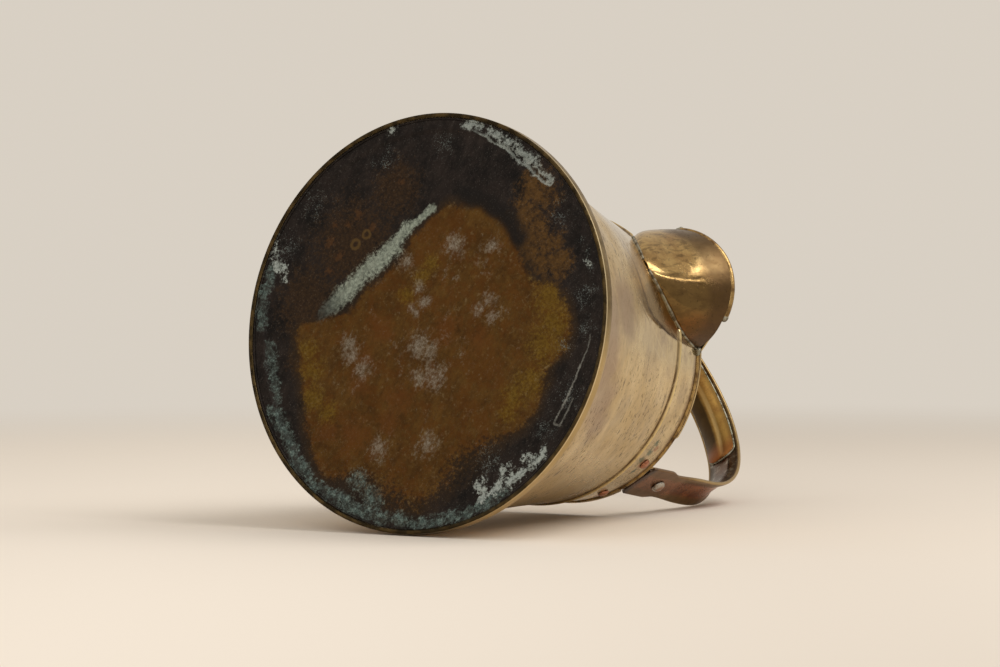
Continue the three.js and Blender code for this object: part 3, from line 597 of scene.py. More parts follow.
def base_finish():
    """The underside: a dark heat stain round an ochre patch, with a pale streak, film and verdigris. Where each of
    them lies is written on the mesh by stained()."""
    p = Paint("stained_base")
    fine = p.noise(2, 6, 0.8, (0.32, 0.68), shift=15)
    grain = p.noise(0.9, 4, 0.8, STRETCH, shift=71)
    radius = p.from_axis()
    clumps = p.noise(6, 6, 0.75, STRETCH, shift=81)
    clouds = p.noise(19, 5, 0.65, STRETCH, shift=17)
    wipes = p.noise(3, 6, 0.75, STRETCH, p.scaled(1, 0.3, 1, p.turned(-0.99)), 19)

    def stain(name, lo, hi, by_fine=0.4, by_clumps=0.4):
        here = p.layer(name)
        return smooth(here + (fine - 0.5) * by_fine + (clumps - 0.5) * by_clumps, lo, hi) * smooth(here, 0, 0.2)

    # ochre patch
    p.start(clouds, (0.066, 0.029, 0.0065), (0.112, 0.054, 0.012))
    p.lay(wipes * 0.6, (0.048, 0.022, 0.006))
    p.lay(p.noise(1.2, 3, 0.7, (0.58, 0.68), shift=97) * 0.5, (0.022, 0.011, 0.004))
    p.lay(fine * clumps * 0.5, (0.15, 0.086, 0.02))
    p.lay(p.noise(11, 5, 0.7, (0.44, 0.6), shift=53) * 0.5, (0.1, 0.036, 0.006))
    p.lay(p.noise(3.2, 4, 0.7, (0.58, 0.7), shift=59) * 0.45, (0.185, 0.13, 0.062))
    p.lay(stain("rusty", 0.1, 0.9) * 0.5, (0.12, 0.042, 0.01))
    p.lay(stain("golden", 0.1, 0.9, 0.5, 0.3) * 0.6, (0.085, 0.047, 0.005), (0.19, 0.117, 0.014), fine)
    ochre = p.colour
    # dark ground
    p.start(clouds, (0.004, 0.0028, 0.0023), (0.016, 0.0108, 0.0088))
    p.lay(wipes * clumps * 0.5, (0.042, 0.031, 0.026))
    p.lay(stain("warm", 0.2, 0.75) * 0.8, (0.018, 0.009, 0.004), (0.05, 0.025, 0.008), fine)
    mottled = fine * 0.4 + clumps * 0.6
    p.lay(stain("scorched", 0.15, 0.8) * 0.9, (0.016, 0.008, 0.003), (0.13, 0.063, 0.013), mottled)
    # the patch on it, with a feathered edge and a dark stripe
    feather = p.layer("feathered")
    edge = p.layer("patch_depth") / (1 + 2.5 * feather) + (fine - 0.5) * (2.5 + 4 * feather) + (clumps - 0.5) * 2.5
    patch = smooth(edge, -2, 3.5)
    p.lay(patch, ochre)
    p.lay(smooth(edge, -7, -1) * (1 - patch) * 0.55, (0.034, 0.018, 0.006))
    p.lay(stain("striped", 0.1, 0.8, 0.3, 0.2) * 0.85, (0.007, 0.0055, 0.005))
    # pale film over the patch
    haze = p.noise(15, 5, 0.7, (0.5, 0.66), shift=44) * fall(radius, 45, 85) * 0.42
    film = most(p.layer("filmed"), haze) + (fine - 0.5) * 0.4 + (wipes - 0.5) * 0.4 + (clumps - 0.5) * 0.4
    film = smooth(film, 0.22, 1.25) * (0.4 + 0.6 * grain)
    p.lay(film * patch * 0.95, (0.12, 0.098, 0.066), (0.32, 0.285, 0.225), fine)
    # pale green streak, thinner and darker at its tail
    streak = stain("streaked", 0.2, 0.72, 0.42, 0.3) * (0.7 + 0.3 * wipes)
    streak = streak * (1 - 0.8 * smooth(p.x * -1, 36, 62) * (1 - fine * clumps))
    pale = p.mix(fine, (0.14, 0.165, 0.125), (0.4, 0.45, 0.36))
    p.lay(streak * 0.92, pale, (0.045, 0.066, 0.058), smooth(p.x * -1, 32, 60))
    # brown spots and two rings
    p.lay(stain("spotted", 0.3, 0.8, 0.5, 0.2) * 0.6, (0.085, 0.036, 0.01))
    rings = p.near(p.warped(p.place, (3.5, 2.2)), (-9, -67, 4.6), (-18, -66, 5.2))
    p.lay(within(rings - 0.5, 0.06, 0.28) * 0.55, (0.13, 0.075, 0.02))
    # verdigris and lime round the edge
    patchy = p.noise(4.5, 5, 0.75, (0.4, 0.62), shift=91)
    patina = stain("greened", 0.15, 0.75, 0.6, 0.7) * (0.2 + 0.8 * patchy)
    p.lay(patina * 0.85, (0.022, 0.042, 0.037), (0.31, 0.42, 0.37), fine * grain)
    specks = smooth(p.layer("speckled") * 0.55 + grain * 0.6 + clumps * 0.3, 1.02, 1.25)
    p.lay(specks * 0.75, (0.16, 0.19, 0.18))
    band = p.layer("banded")
    shore = within(band + (fine - 0.5) * 0.25 - 0.26, 0.06, 0.2)
    shore = shore * smooth(band, 0, 0.15) * fall(radius, 110, 113)
    banded = most(shore * (0.5 + 0.5 * clumps), stain("banded", 0.3, 0.9, 0.8, 1) * 0.85)
    chalk = most(stain("limed", 0.36, 0.85, 0.9, 0.9), banded)
    p.lay(chalk * 0.9, (0.09, 0.115, 0.1), (0.5, 0.54, 0.49), fine * 0.6 + grain * 0.4)
    # a thin line of lime where water dried
    tide = (88, 66), (84, 71), (76, 76), (68, 82), (58, 89), (48, 94), (45, 97), (48, 100), (55, 96), (62, 91)
    tide = p.trail(p.warped(p.place, (4, 2), (1.5, 0.8)), 1, *tide)
    p.lay(smooth(tide + (grain - 0.5) * 0.6, 0.2, 0.8) * (0.25 + 0.5 * clumps), (0.28, 0.28, 0.25))
    dust = smooth(grain * 0.7 + fine * 0.3, 0.74, 0.95) * (0.25 + 0.75 * smooth(radius, 55, 95))
    p.lay(dust * 0.34, (0.15, 0.14, 0.125))
    crust = most(chalk, patina * 0.8, streak * 0.8)
    rough = 0.5 + 0.35 * crust - 0.08 * patch + 0.12 * (clumps - 0.5) + 0.2 * film
    metallic = (0.8 + 0.12 * patch) * (1 - crust) * (1 - 0.6 * film)
    bump = 0.12 * p.noise(14, 3, shift=2) + 0.1 * chalk + 0.05 * patina + 0.02 * fine
    return p.metal(rough, bump, metallic)


def solder_finish():
    p = Paint("soft_solder")
    p.start(p.noise(2.2), (0.2, 0.18, 0.13), (0.44, 0.41, 0.32))
    p.lay(p.noise(7, 3, cut=(0.5, 0.66), shift=5) * 0.45, (0.19, 0.22, 0.15))
    p.lay(p.noise(4, 3, cut=(0.48, 0.6), shift=8) * 0.85, (0.07, 0.05, 0.028))
    return p.metal(0.32 + 0.25 * p.noise(3, 3), 0.2 * p.noise(1.5, 3), 0.9)


def pivot_finish():
    """Worn bright round a coppery crown."""
    p, rough, bump = brass("pivot_iron", (0.48, 0.44, 0.38), (0.22, 0.15, 0.1), 3.5, (0.45, 0.7), (0.2, 0.35))
    from_pivot = (p.x * p.x + (p.z - pivot_height) ** 2) ** 0.5
    crown = fall(from_pivot + p.drift(2, 2, 3), 2, 3.5)
    p.lay(crown * 0.85, (0.22, 0.1, 0.05), (0.45, 0.24, 0.15), p.noise(1.6))
    return p.metal(rough, bump)


base_stain = base_finish()
solder = solder_finish()
wire_brass = plain_brass("wire_brass", (0.4, 0.26, 0.1), (0.11, 0.06, 0.025), 9, (0.4, 0.66), (0.2, 0.42))
golden_brass = plain_brass("golden_brass", (0.5, 0.31, 0.085), (0.28, 0.15, 0.045), 14, (0.4, 0.7), (0.22, 0.4))
lid_brass = plain_brass("lid_brass", (0.56, 0.42, 0.21), (0.36, 0.24, 0.11), 25, (0.4, 0.7), (0.26, 0.42))
rivet_copper = plain_brass("rivet_copper", (0.52, 0.24, 0.14), (0.3, 0.12, 0.07), 3, (0.4, 0.7), (0.3, 0.5))
pivot_iron = pivot_finish()

# Can wall, foot and base


def cone_radius(z):
    u = z / body_height
    return lerp(body_base_radius, body_top_radius, u) - body_waist * u * (1 - u)


def seam_half(share):
    """Half the width of the spout's seam at a share of its depth, counted up from the toe."""
    rounded = np.sqrt(share * (share + 0.04) / 1.04)
    return seam_half_width * (0.85 * (1 - (1 - rounded) ** 3) + 0.15 * rounded)


bead_end = seam_half(1 - (body_height - bead_height) / seam_depth) + 0.9
bead_end = asin(bead_end / cone_radius(bead_height))


def bead_line(angle):
    """Height of the bead's crest, which was rolled a little out of level."""
    return bead_height + 0.1 + 2.2 * np.cos(angle + 0.35) - 0.9 * np.cos(2 * angle - 2.97)


def wall_radius(z, angle):
    flare = max(0, (flare_bottom + flare_height - z) / flare_height) ** 2
    flare *= foot_sheet_radius - cone_radius(flare_bottom)
    to_bead = min(1, abs(z - bead_line(angle)) / bead_half_width)
    bead = bead_proud * cos(to_bead * pi / 2) ** 2 * smooth(abs(angle), bead_end, bead_end + 0.035)
    lap = 0.4 * fall((pi - abs(angle)) * body_top_radius, 3.2, 4) * smooth(z, 16, 22)
    return cone_radius(z) + flare + bead + lap


def throat_top(angle):
    """Height of the wall's top edge at an angle, where the throat opens behind the spout."""
    z = linspace(seam_toe + 2 * throat_inset, body_height, 80)
    half = (seam_half(np.clip((z - seam_toe) / seam_depth, 0, 1)) - throat_inset) * smooth(z, 112, 139)
    reach = np.arcsin(half / cone_radius(z))
    return np.interp(abs(angle), reach, z) if abs(angle) < reach[-1] else body_height


def on_wall(a, level, depth):
    drift = bead_line(a) - bead_height
    z = min(level + drift * smooth(level, 90, 134) * fall(level, 146, 166), throat_top(a))
    r = wall_radius(z, a)
    r += 0.12 * wobble(polar(r, a, z), 30, 2) * smooth(z, 16, 30) * fall(z, 126, 134)
    return polar(r - depth, a, z)


lap_edge = pi - 0.047
angles = [linspace(-pi, pi, 288, endpoint=False), linspace(-0.43, 0.43, 90), [lap_edge, -lap_edge]]
angles = np.unique(np.round(np.concatenate(angles), 5))
low, high = bead_height - 3, bead_height + 3
levels = steps((flare_bottom, 17, 12), (17, low, 36), (low, high, 17), (high, body_height, 16))
wall = sheet("can_wall", angles, levels, on_wall, body_wall, wrap=True, sharp=40)
fit(wall, wall_finish(), "body_shell")

foot_profile = [  # (in from the outer face, height)
    (foot_wall, 1), (2.15, 0.35), (1.65, 0.03), (1.2, 0), (0.9, 0), (0.35, 0.15), (0.06, 0.6), (0, 1.3),
    (0, 3.8), (0.05, 6.4), (0.3, 7.1), (0.8, 7.45), (1.4, 7.5), (2, 7.3), (foot_wall, 6.9),
]
foot_profile = [(foot_radius - depth, z) for depth, z in foot_profile]
fit(lathe("foot_ring", foot_profile, 256, ring=True, sharp=60), foot_finish(), "foot_band")

# Stains under the base. A spot is (x, y, size), and the can is seen from below with x to the right and y down.

patch_middle = (-5, 18)
patch_outline = np.array([  # (bearing from the middle in degrees, reach)
    (-56, 85), (-47, 87), (-39, 89), (-28, 85), (-18, 81), (-10, 77), (1, 78), (9, 89), (16, 92), (24, 93),
    (31, 90), (39, 80), (49, 79), (57, 80), (67, 76), (81, 67), (93, 66), (101, 66), (115, 80), (123, 87),
    (136, 86), (145, 83), (155, 85), (166, 97), (173, 97), (188, 90), (203, 88), (215, 93), (222, 94),
    (225, 88), (228, 77), (235, 65), (256, 57), (275, 60), (292, 72),
])
stain_spots = {
    "warm": [(-20, -66, 46), (-60, -54, 36), (20, -80, 26), (-82, -28, 14)],
    "scorched": [
        (101, -30, 15), (94, -27, 15), (100, -19, 16), (86, -16, 19), (85, -4, 19), (90, 6, 16), (89, 19, 15),
        (76, 30, 15), (78, 2, 14), (82, 12, 13),
    ],
    "feathered": [(-62, 66, 55), (-20, 88, 40)],
    "rusty": [
        (-43, -4, 9), (-54, 8, 12), (-84, 20, 12), (-46, 37, 12), (-35, 30, 13), (11, 13, 14), (26, 29, 12),
        (-28, -13, 14), (-70, 30, 16),
    ],
    "golden": [
        (-74, -29, 11), (-77, -18, 13), (-84, -2, 13), (-80, 10, 10), (87, 6, 12), (80, 18, 14), (76, 34, 16),
        (72, 47, 16), (60, 55, 17), (44, 68, 15), (30, 70, 13), (24, 75, 10), (12, -24, 9), (20, -27, 8),
        (-2, -20, 8),
    ],
    "filmed": [
        (-3, -12, 5), (-2, -9, 5), (-48, -18, 9), (-50, -10, 9), (-48, 0, 11), (-9, 10, 13), (-5, 16, 13),
        (-8, 32, 15), (-17, 26, 9), (42, 13, 9), (33, 14, 7), (40, 22, 8), (59, -13, 9), (38, -27, 13),
        (5, -39, 9), (7, -20, 8), (7, -10, 7), (-30, 62, 13), (-58, 48, 12),
    ],
    "spotted": [
        (-9, -80, 5), (-32, -77, 5), (25, -81, 4), (-17, -78, 4), (-3, -68, 5), (-31, -66, 5), (-41, -63, 6),
        (-24, -84, 5),
    ],
    "limed": [
        (-12, 102, 7), (6, 103, 8), (22, 104, 6), (35, -109, 4), (-66, -95, 6), (-68, -84, 7), (-70, -76, 5),
        (107, 28, 4),
    ],
    "greened": [(-79, 57, 10), (-76, 69, 11)],
    "speckled": [
        (108, 17, 7), (108, 25, 6), (106, 34, 8), (96, 44, 22), (88, 62, 18), (70, 62, 14), (104, -4, 20),
        (60, 88, 26), (40, 96, 22), (22, -98, 22), (-30, -102, 26), (0, 92, 26), (-60, -92, 24), (60, -84, 20),
    ],
}
stain_trails = {  # size, then the points of a line
    "striped": [(9, (58, -49), (66, -40), (71, -30), (74, -19), (75, -7))],
    "streaked": [
        (9, (4, -51), (-9, -49), (-20, -48), (-30, -46), (-42, -45), (-50, -43.5)),
        (6.5, (16, -54), (4, -51), (-9, -49), (-50, -43.5), (-58, -42)),
        (4.2, (36, -56), (25, -55), (15, -54)),
    ],
    "limed": [(6, (-13, 108), (-2, 109), (10, 110)), (5, (10, 110), (24, 110), (32, 107))],
    "banded": [
        (4.5, (78, -85), (84, -78), (90, -70)),
        (6, (90, -70), (96, -59), (100, -49), (104, -38)),
        (4, (104, -38), (106, -31), (108, -25)),
    ],
    "greened": [
        (6, (-72, -86), (-84, -76), (-91, -67), (-94, -60)),
        (5, (-96, -46), (-101, -31), (-106, -16)),
        (6, (-110, -12), (-110, 1), (-109, 11), (-111, 21), (-108, 35)),
        (6, (-105, 43), (-96, 59), (-85, 73), (-67, 89)),
        (6, (-67, 91), (-56, 99), (-42, 106), (-26, 111), (0, 113)),
    ],
}


def stained(piece):
    """Writes on the mesh where each stain lies, from 0 to 1, and how deep in the ochre patch each point is."""
    places = [Vector(v.co) / MM for v in piece.data.vertices]
    x, y = [np.array([v[k] + 2.2 * wobble((v.x, v.y, 0), 9, 5 + 7 * k) for v in places]) for k in range(2)]
    at = x + 1j * y  # complex numbers, so that a share of a line is the real part of a quotient
    masks = {}
    for name in {**stain_spots, **stain_trails}:
        trails = [(size, (a, b), (a, b)) for a, b, size in stain_spots.get(name, [])]
        masks[name] = np.zeros(len(at))
        for size, *points in trails + stain_trails.get(name, []):
            points = [complex(*point) for point in points]
            for a, b in zip(points, points[1:]):
                along = np.clip(((at - a) / (b - a or 1)).real, 0, 1)
                masks[name] = np.maximum(masks[name], 1 - abs(at - a - along * (b - a)) / size)
    at -= complex(*patch_middle)
    reach = np.interp(np.degrees(np.angle(at)), *patch_outline.T, period=360)
    masks["patch_depth"] = reach - abs(at)
    for name, mask in masks.items():
        piece.data.attributes.new(name, "FLOAT", "POINT").data.foreach_set("value", mask.astype("f"))
    return piece


def on_base(a, r, depth):
    x, y, z = polar(r, a, base_recess + depth)
    rise = base_panel_rise * fall(r, base_panel_foot - base_panel_slope, base_panel_foot)
    dents = 0.28 * wobble((x, y, 0), 42, 5) + 0.06 * wobble((x, y, 0), 11, 8)
    return x, y, z + rise + dents * fall(r, 104, 114)


radii = [0.01, *linspace(2, 105, 56), *linspace(106.5, 111.5, 8), 113, 114.5, 116, foot_sheet_radius]
base = stained(sheet("base_plate", turn_round(288), radii, on_base, base_thickness, wrap=True))
fit(base, base_stain, "base_disc")


def beads(count, size, spread, seed):
    """A run of radii for a bead of solder, from 1 - spread to 1 + spread times size."""
    return [size * (1 + spread * wobble((k * 0.9, seed, 0), 4, seed)) for k in range(count)]


base_seam = [polar(116.9, a, 1.75) for a in turn_round(240)]
base_seam = tube("base_seam_solder", base_seam, beads(240, 0.75, 0.3, 2), 8, closed=True)
fit(stained(base_seam), base_stain)

# Rim wire and spout

rim_end = asin(seam_half_width / body_top_radius) + 2.5 / body_top_radius
rim_path = [polar(rim_wire_centre, a, rim_wire_height) for a in linspace(rim_end, 2 * pi - rim_end, 220)]
fit(tube("mouth_rim_wire", rim_path, rim_wire_radius * 0.98, 16), wire_brass, "rim_wire")

lip_centre = lip_reach - lip_radius
lip_path_radius = lip_radius - lip_wire_radius
lip_sheet_radius = lip_path_radius + spout_wall / 2
seam_corner = sqrt((body_top_radius + gap) ** 2 - seam_half_width**2)
spout_run = lip_centre + lip_sheet_radius - seam_corner
lip_corner = (lip_centre + lip_sheet_radius * cos(lip_angle), lip_sheet_radius * sin(lip_angle))


def mouth_plan(side):
    """The mouth's plan as shares of the seam's half-width and the spout's run, and its rise."""
    sign, t = copysign(1, side), 1 - abs(side)
    if t < side_share:
        along = t / side_share
        half = lerp(seam_half_width, lip_corner[1], along) + 4 * side_bow * along * (1 - along)
        return sign * half / seam_half_width, along * (lip_corner[0] - seam_corner) / spout_run, 0
    a = lip_angle * (1 - (t - side_share) / (1 - side_share))
    across = sign * lip_sheet_radius * sin(a) / seam_half_width
    forward = (lip_centre + lip_sheet_radius * cos(a) - seam_corner) / spout_run
    return across, forward, lip_rise * (1 - (a / lip_angle) ** 1.3)


def on_spout(side, share, depth=0):
    across, forward, rise = mouth_plan(side)
    z = lerp(seam_toe, spout_side_top, share)
    half = seam_half(share)
    half = half**2 / (half + depth)
    reach = share * spout_run
    reach = reach**2 / (reach + depth)
    return sqrt((cone_radius(z) + gap) ** 2 - half**2) + forward * reach, across * half, z + share * rise


sides = [1 - 2 * k / 100 for k in range(101)]
shares = 0.02 + 0.98 * linspace(0, 1, 34) ** 1.15
spout = sheet("spout_bowl", sides, shares, on_spout, spout_wall, sharp=40, bevel=0.3)
fit(spout, spout_finish(), "spout_shell")


def lip_point(t):
    a = lip_angle * (2 * t - 1)
    x, y, z = polar(lip_path_radius, a, mouth_height + lip_rise * (1 - abs(a / lip_angle) ** 1.3))
    return lip_centre + x, y, z


lip_path = [lip_point(t) for t in linspace(0, 1, 72)]
fit(tube("pouring_lip_wire", lip_path, lip_wire_radius * 0.98, 16), wire_brass, "spout_lip_wire")

for side, label in ((1, "left"), (-1, "right")):
    path = [on_spout(side, share) for share in 0.02 + 0.98 * linspace(0, 1, 60) ** 1.2]
    path = np.array(path) + (-0.05, side * 0.25, 0)
    corner = (seam_corner - 0.6, side * (seam_half_width + 0.9), 170.9)
    for piece in (
        tube(f"spout_seam_solder_{label}", path, beads(60, 0.75, 0.35, 4 + side), 10),
        blob(f"lip_end_solder_{label}", lip_point((1 + side) / 2), 2.3, (1.1, 1, 0.9), 2 + side, 0.25),
        blob(f"rim_corner_solder_{label}", corner, 2.4, (1.1, 1.1, 0.95), 5 + side, 0.3),
    ):
        fit(piece, solder)

# Ears, rivets and pivots

ear_at_rim = sqrt((rim_wire_centre - rim_wire_radius - gap) ** 2 - ear_radius**2)
ear_outer = strap_outer - strap_thickness - gap


def ear_half(z):
    if z > pivot_height:
        return sqrt(max(0, ear_radius**2 - (z - pivot_height) ** 2))
    tab = 23 - 3 * fall(z, 150, 153)
    return lerp(tab, ear_radius, smooth(z, 165, body_height))


def ear_face(x, z):
    if z > body_height:
        return lerp(ear_at_rim, ear_outer, smooth(z, rim_top + 1, rim_top + 8))
    wall = sqrt((cone_radius(z) - body_wall - gap) ** 2 - x**2)
    return min(wall, wall + (ear_at_rim - wall) * (z - 165) / 5.4) if z > 165 else wall


def dome(radius, height, foot=0):
    """Profile of a domed head, from its crown to its rim."""
    return [(radius * sin(t), foot + height * cos(t)) for t in linspace(0, pi / 2, 7)]


def rivet(name, place, shank, head, height, tail, tail_height, grip):
    profile = dome(head, height) + [(shank, -0.02), (shank, -grip)] + dome(tail, -tail_height, -grip)[::-1]
    return lathe(name, profile, 28, place, rough=0.03, sharp=50)


def washer(name, place, hole):
    return lathe(name, [(5.5, 0), (5.5, 1), (hole, 1), (hole, 0)], 40, place, ring=True, bevel=0.2)


ear_levels = [
    *steps((150, 153, 4), (153.5, 165, 10), (165.5, body_height, 10), (rim_top + 1, rim_top + 8, 10)),
    *linspace(184, pivot_height, 8),
    *(pivot_height + ear_radius * np.sin(linspace(0.12, 1.53, 16))),
]


def on_ear(share, z, depth):
    x = share * ear_half(z)
    return turn @ Vector((x, ear_face(x, z) - depth, z))


across = linspace(-1, 1, 25)
for label, spin in (("left", 0), ("right", pi)):
    turn = Matrix.Rotation(spin, 4, "Z")
    ear = sheet(f"ear_plate_{label}", across, ear_levels, on_ear, ear_thickness, bevel=0.35)
    fit(ear, golden_brass, f"ear_{label}")
    for sign in (-1, 1):
        end = "front" if sign * cos(spin) < 0 else "rear"
        r = cone_radius(ear_rivet_height)
        a = pi / 2 + sign * asin(ear_rivet_spread / r)
        slope = cone_radius(ear_rivet_height + 1) - r
        place = turn @ facing(polar(r + gap, a, ear_rivet_height), polar(1, a, -slope))
        head = rivet(f"ear_rivet_head_{label}_{end}", place, 2, 3.5, 1.8, 3.5, 1.26, 4.2)
        fit(head, rivet_copper, f"ear_rivet_{label}_{end}")
    place = turn @ facing((0, strap_outer + gap, pivot_height), (0, 1, 0))
    pin = rivet(f"pivot_head_{label}", place, 2.5, 4.3, 3, 3.87, 1.2, 6.2)
    fit(pin, pivot_iron, f"pivot_rivet_{label}")
    place = turn @ facing((0, ear_outer - ear_thickness - gap - 1, pivot_height), (0, 1, 0))
    fit(washer(f"pivot_ring_{label}", place, 2.8), wire_brass, f"pivot_washer_{label}")

# Bail handle


def strap_half(z):
    corner = 3 * fall(z, strap_end, strap_end + 3)
    eye = lerp(strap_eye_half - corner, strap_waist_half, smooth(z, pivot_height, dish_from))
    return lerp(eye, strap_half_width, smooth(z, dish_from, dish_to))


def on_strap(s, spot, depth):
    y, z, out_y, out_z = spot
    x = s * strap_half(z) + 0.25 * s * wobble((40 * s, y, z), 22, 4)
    sink = strap_dish * fall(abs(s), 0.3, 0.93)
    out = (0.1 * wobble((x, y, z), 14, 6) - sink) * smooth(z, dish_from, dish_to) - depth - 0.1
    return x, y + out_y * out, z + out_z * out


# the strap's edge line with its outward directions, from the right end over the arch to the left one
legs = [*linspace(strap_end, strap_end + 3, 5), *linspace(strap_end + 4, arch_height, 60)]
arch = [polar(1, a, 0) for a in np.radians(linspace(178, 2, 100))]
line = [(-strap_outer, z, -1, 0) for z in legs]
line += [(strap_outer * y, arch_height + strap_outer * z, y, z) for y, z, _ in arch]
line += [(strap_outer, z, 1, 0) for z in reversed(legs)]
strap = sheet("bail_bar", across, line, on_strap, strap_thickness, sharp=45, bevel=0.45)
fit(strap, strap_finish(), "bail_strap", body="bail")

grip_share = 0.8
grip_end = 39
grip_arch = 5.5
grip_bulge = 1.7


def on_grip(s, degrees, depth=0.2):
    """A point of the strip under the hand: it bulges away from the strap, and comes down to it at both ends."""
    past = min(1, max(0, abs(degrees) - (grip_end - grip_arch)) / grip_arch)
    arch = sqrt(1 - past**2)
    s_at = s * max(0.12, arch)
    sink = strap_dish * (1 - (s_at * grip_share) ** 2)
    bulge = grip_bulge * (0.15 + 0.85 * arch) * (1 - abs(s) ** 2.4)
    z, y, x = polar(ear_outer - sink - bulge - depth, radians(degrees), s_at * grip_share * strap_half_width)
    return x, y, arch_height + z


def grip_angles(rounding, foot, middle):
    ends = grip_end - grip_arch + grip_arch * np.sin(linspace(0, pi / 2, rounding))
    return [*-ends[::-1], *linspace(-foot, foot, middle)[1:-1], *ends]


angles = grip_angles(14, grip_end - grip_arch, 60)
grip = sheet("grip_liner", across, angles, on_grip, 1.3, sharp=50, bevel=0.45)
fit(grip, grip_finish(), "grip_underside", body="bail")
angles = grip_angles(12, 29 * 71 / 69, 72)
edge = [on_grip(1, a) for a in angles] + [on_grip(-1, a) for a in reversed(angles)]
fit(tube("grip_seam_solder", edge, beads(len(edge), 0.7, 0.35, 7), 8, closed=True), solder, body="bail")

# Rear cover, lid and hinge

lid_reach = lip_corner[0] + 0.8
lid_most_half = strap_outer - 7.7


def cover_half(x):
    return sqrt(max(0, cover_radius**2 - x**2))


def lid_half(x):
    if x < seam_corner:
        return min(lid_most_half, cover_half(x))
    along = (x - seam_corner) / (lid_reach - seam_corner)
    return lerp(cover_half(seam_corner), lip_corner[1] - 3, along)


def plate(name, stations, half_at, far_end):
    def on_plate(share, x, depth):
        half = half_at(x)
        if half_at is cover_half and abs(x) < 11.5:
            half = min(half, ear_at_rim - 2.6)  # room for the ears
        y = share * half
        margin = min(half - abs(y), far_end - abs(x))
        rise = 1.1 * smooth(margin, 4.5, 9) * smooth(abs(x), 16.6, 25)
        beaten = 0.1 * wobble((x, y, 0), 24, 9) * smooth(margin, 4.5, 12)
        return x, y, cover_bottom + cover_thickness + rise + beaten - depth

    return sheet(name, linspace(-1, 1, 61), stations, on_plate, cover_thickness, bevel=0.3)


cover_edge = cover_radius - 0.1
far = [-cover_edge * sin(radians(a)) for a in (80, 82, 84)]
stations = [-0.5, *linspace(-4, -11.4, 5), *linspace(-11.6, far[0], 50), *far[1:]]
cover = plate("fixed_cover", stations, cover_half, cover_radius)
skirt_radius = 80.9
reach = acos(30 / skirt_radius)
turns = linspace(pi - reach, pi + reach, 90)
skirt = sheet("skirt", turns, linspace(164, 174.4, 4), lambda a, z, depth: polar(skirt_radius - depth, a, z), 1)
fit(join("rear_fixed_cover", cover, skirt), lid_brass, "rear_cover")

stations = [*linspace(0.5, seam_corner, 52), *linspace(seam_corner + 1, lid_reach, 18)]
fit(plate("lifting_lid", stations, lid_half, lid_reach), lid_brass, "front_lid", body="lid")

leaf_bottom = cover_bottom + cover_thickness + gap
knuckle_half = 5.85


def make_leaf(name, sign, first):
    pieces = [slab("leaf", sorted((sign * 3.2, sign * 16)), (-30, 30), leaf_bottom, 1)]
    for k in range(first, 5, 2):
        middle = (k + 0.5) * 12 - 30
        web = (middle - knuckle_half, middle + knuckle_half)
        pieces.append(slab("web", sorted((0, sign * 3.5)), web, leaf_bottom, 1))
        rim = [(1.55, knuckle_half), (2.4, knuckle_half), (2.6, 5.6)]
        knuckle = [(r, -z) for r, z in rim] + rim[::-1]
        pieces.append(lathe("knuckle", knuckle, 32, facing((0, middle, hinge_height), (0, 1, 0)), ring=True))
    return join(name, *pieces)


fit(make_leaf("hinge_leaf_fixed", -1, 0), golden_brass, "rear_hinge_leaf")
fit(make_leaf("hinge_leaf_lifting", 1, 1), golden_brass, "front_hinge_leaf", body="lid")
pin_profile = [(0.01, -31), (0.9, -31), (1.25, -30.7), (1.25, 30.7), (0.9, 31), (0.01, 31)]
pin = lathe("hinge_rod", pin_profile, 24, facing((0, 0, hinge_height), (0, 1, 0)))
fit(pin, wire_brass, "hinge_pin")

for leaf, sign, body in (("rear", -1, "can"), ("front", 1, "lid")):
    for k in range(3):
        place = Matrix.Translation((sign * 10, 20 * (k - 1), leaf_bottom + 1.3))
        head = rivet(f"hinge_rivet_{leaf}_{k + 1}", place, 1.2, 2.4, 1.1, 2.4, 1.1, 3.1)
        fit(head, wire_brass, f"{leaf}_leaf_rivet_{k + 1}", body=body)

knob_reach = lid_reach - 33
knob_curve = [
    (0.01, 14), (1.6, 13.95), (3.2, 13.7), (4.9, 13.1), (6.2, 12.2), (7.1, 11), (7.5, 9.6), (7.3, 8.3),
    (6.5, 7.2), (5.2, 6.4), (4, 5.8), (3.3, 5.1), (3, 4.2), (3.1, 3.2), (3.9, 2.4), (5.6, 1.8), (6.9, 1.4),
    (7.15, 0.9), (7.1, 0.2), (6.9, 0), (2, 0), (2, -2.8), (3, -2.8), (2.4, -3.7), (0.01, -3.8),
]
place = Matrix.Translation((knob_reach, 0, leaf_bottom + 1.1))
fit(lathe("lid_button", knob_curve, 56, place, sharp=50), golden_brass, "lid_knob", body="lid")
place = Matrix.Translation((knob_reach, 0, cover_bottom - 0.2))
fit(washer("knob_ring", place, 2.3), wire_brass, "knob_washer", body="lid")

# Floor, light and camera: the can lies on its side, so the floor touches the foot and the bail's shoulder

down = Vector((-0.5505, 0.8173, 0.1695)).normalized()
right = Vector((0.751, 0.4, 0.525))
ahead = Vector((-0.377, -0.393, 0.839))
touch = 0.1194
centre = Vector((0, 0, 0.12))


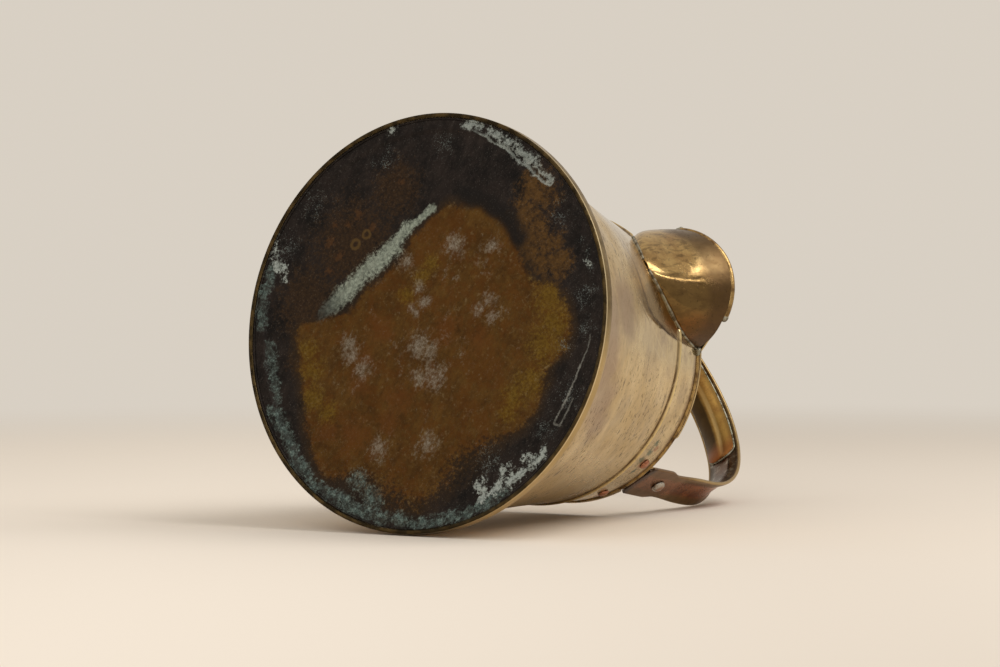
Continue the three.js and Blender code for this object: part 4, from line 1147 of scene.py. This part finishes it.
def make_floor():
    p = Paint("pale_floor")
    across = p.vector("DOT_PRODUCT", p.node("NewGeometry", out="Position"), right, out="Value")
    # painted light: the floor is lighter on the left and darker on the right, as the light falls across it
    p.start(smooth(across, -0.2, 0.26), (0.9, 0.8, 0.68), (0.74, 0.655, 0.555))
    ground = p.node("BsdfPrincipled", {"Base Color": p.colour, "Roughness": 1, "Specular IOR Level": 0})
    # see-through from below, and far out, where it fades into the backdrop
    share = most(p.node("NewGeometry", out="Backfacing"), smooth(p.from_axis(), 700, 1500))
    p.node("OutputMaterial", {"Surface": p.node("MixShader", {0: share, 1: ground, 2: p.node("BsdfTransparent")})})
    bpy.ops.mesh.primitive_grid_add(x_subdivisions=2, y_subdivisions=2, size=4)
    floor = bpy.context.object
    floor.name = "floor"
    floor.rotation_mode = "QUATERNION"
    floor.rotation_quaternion = (-down).to_track_quat("Z", "Y")
    floor.location = Vector((0, 0, 0.1))
    floor.location += down * (touch - floor.location.dot(down))
    floor.data.materials.append(p.material)


make_floor()

world = bpy.data.worlds.new("room")
bpy.context.scene.world = world
room = Nodes(world)
light = room.node("Background", {"Color": (1, 0.97, 0.93, 1), "Strength": 0.56})
seen = room.node("Background", {"Color": (0.69, 0.63, 0.55, 1), "Strength": 1})
rays = [room.node("LightPath", out=f"Is {kind} Ray") for kind in ("Camera", "Glossy")]
mixed = room.node("MixShader", {0: rays[0].math("MAXIMUM", rays[1]), 1: light, 2: seen})
room.node("OutputWorld", {"Surface": mixed})


def seen_along(spot, side, back):
    """A matrix that stands a lamp or the camera on a spot, facing away from back."""
    return Matrix.Translation(spot) @ Matrix((side, back.cross(side), back)).transposed().to_4x4()


def lamp(name, direction, distance, size, power, along=0):
    """A soft lamp that looks at the can, from a direction (right, up, towards the camera) in the photo. With along
    it is a strip of that length, laid towards the camera."""
    r, u, t = direction
    back = (right * r - down * u - ahead * t).normalized()
    data = bpy.data.lights.new(name, "AREA")
    data.shape = "RECTANGLE"
    data.size = size
    data.size_y = along or size
    data.energy = power
    add(name, data).matrix_world = seen_along(centre + back * distance, ahead.cross(back).normalized(), back)


lamp("window", (0.75, 1, 0.25), 1.6, 1.1, 15)
lamp("fill", (-0.5, 0.7, 1), 2.2, 1.6, 8.6)
lamp("strip", (0.86, 0.5, 0.08), 1.6, 0.02, 0.8, 0.9)

camera = add("camera", bpy.data.cameras.new("camera"))
camera.data.lens = 126
camera.data.sensor_width = 36
across = right.normalized()
back = (across * ahead.dot(across) - ahead).normalized()
camera.matrix_world = seen_along((0.7727, 0.7976, -1.6288), across, back)
bpy.context.scene.camera = camera
bpy.context.scene.view_settings.view_transform = "Standard"
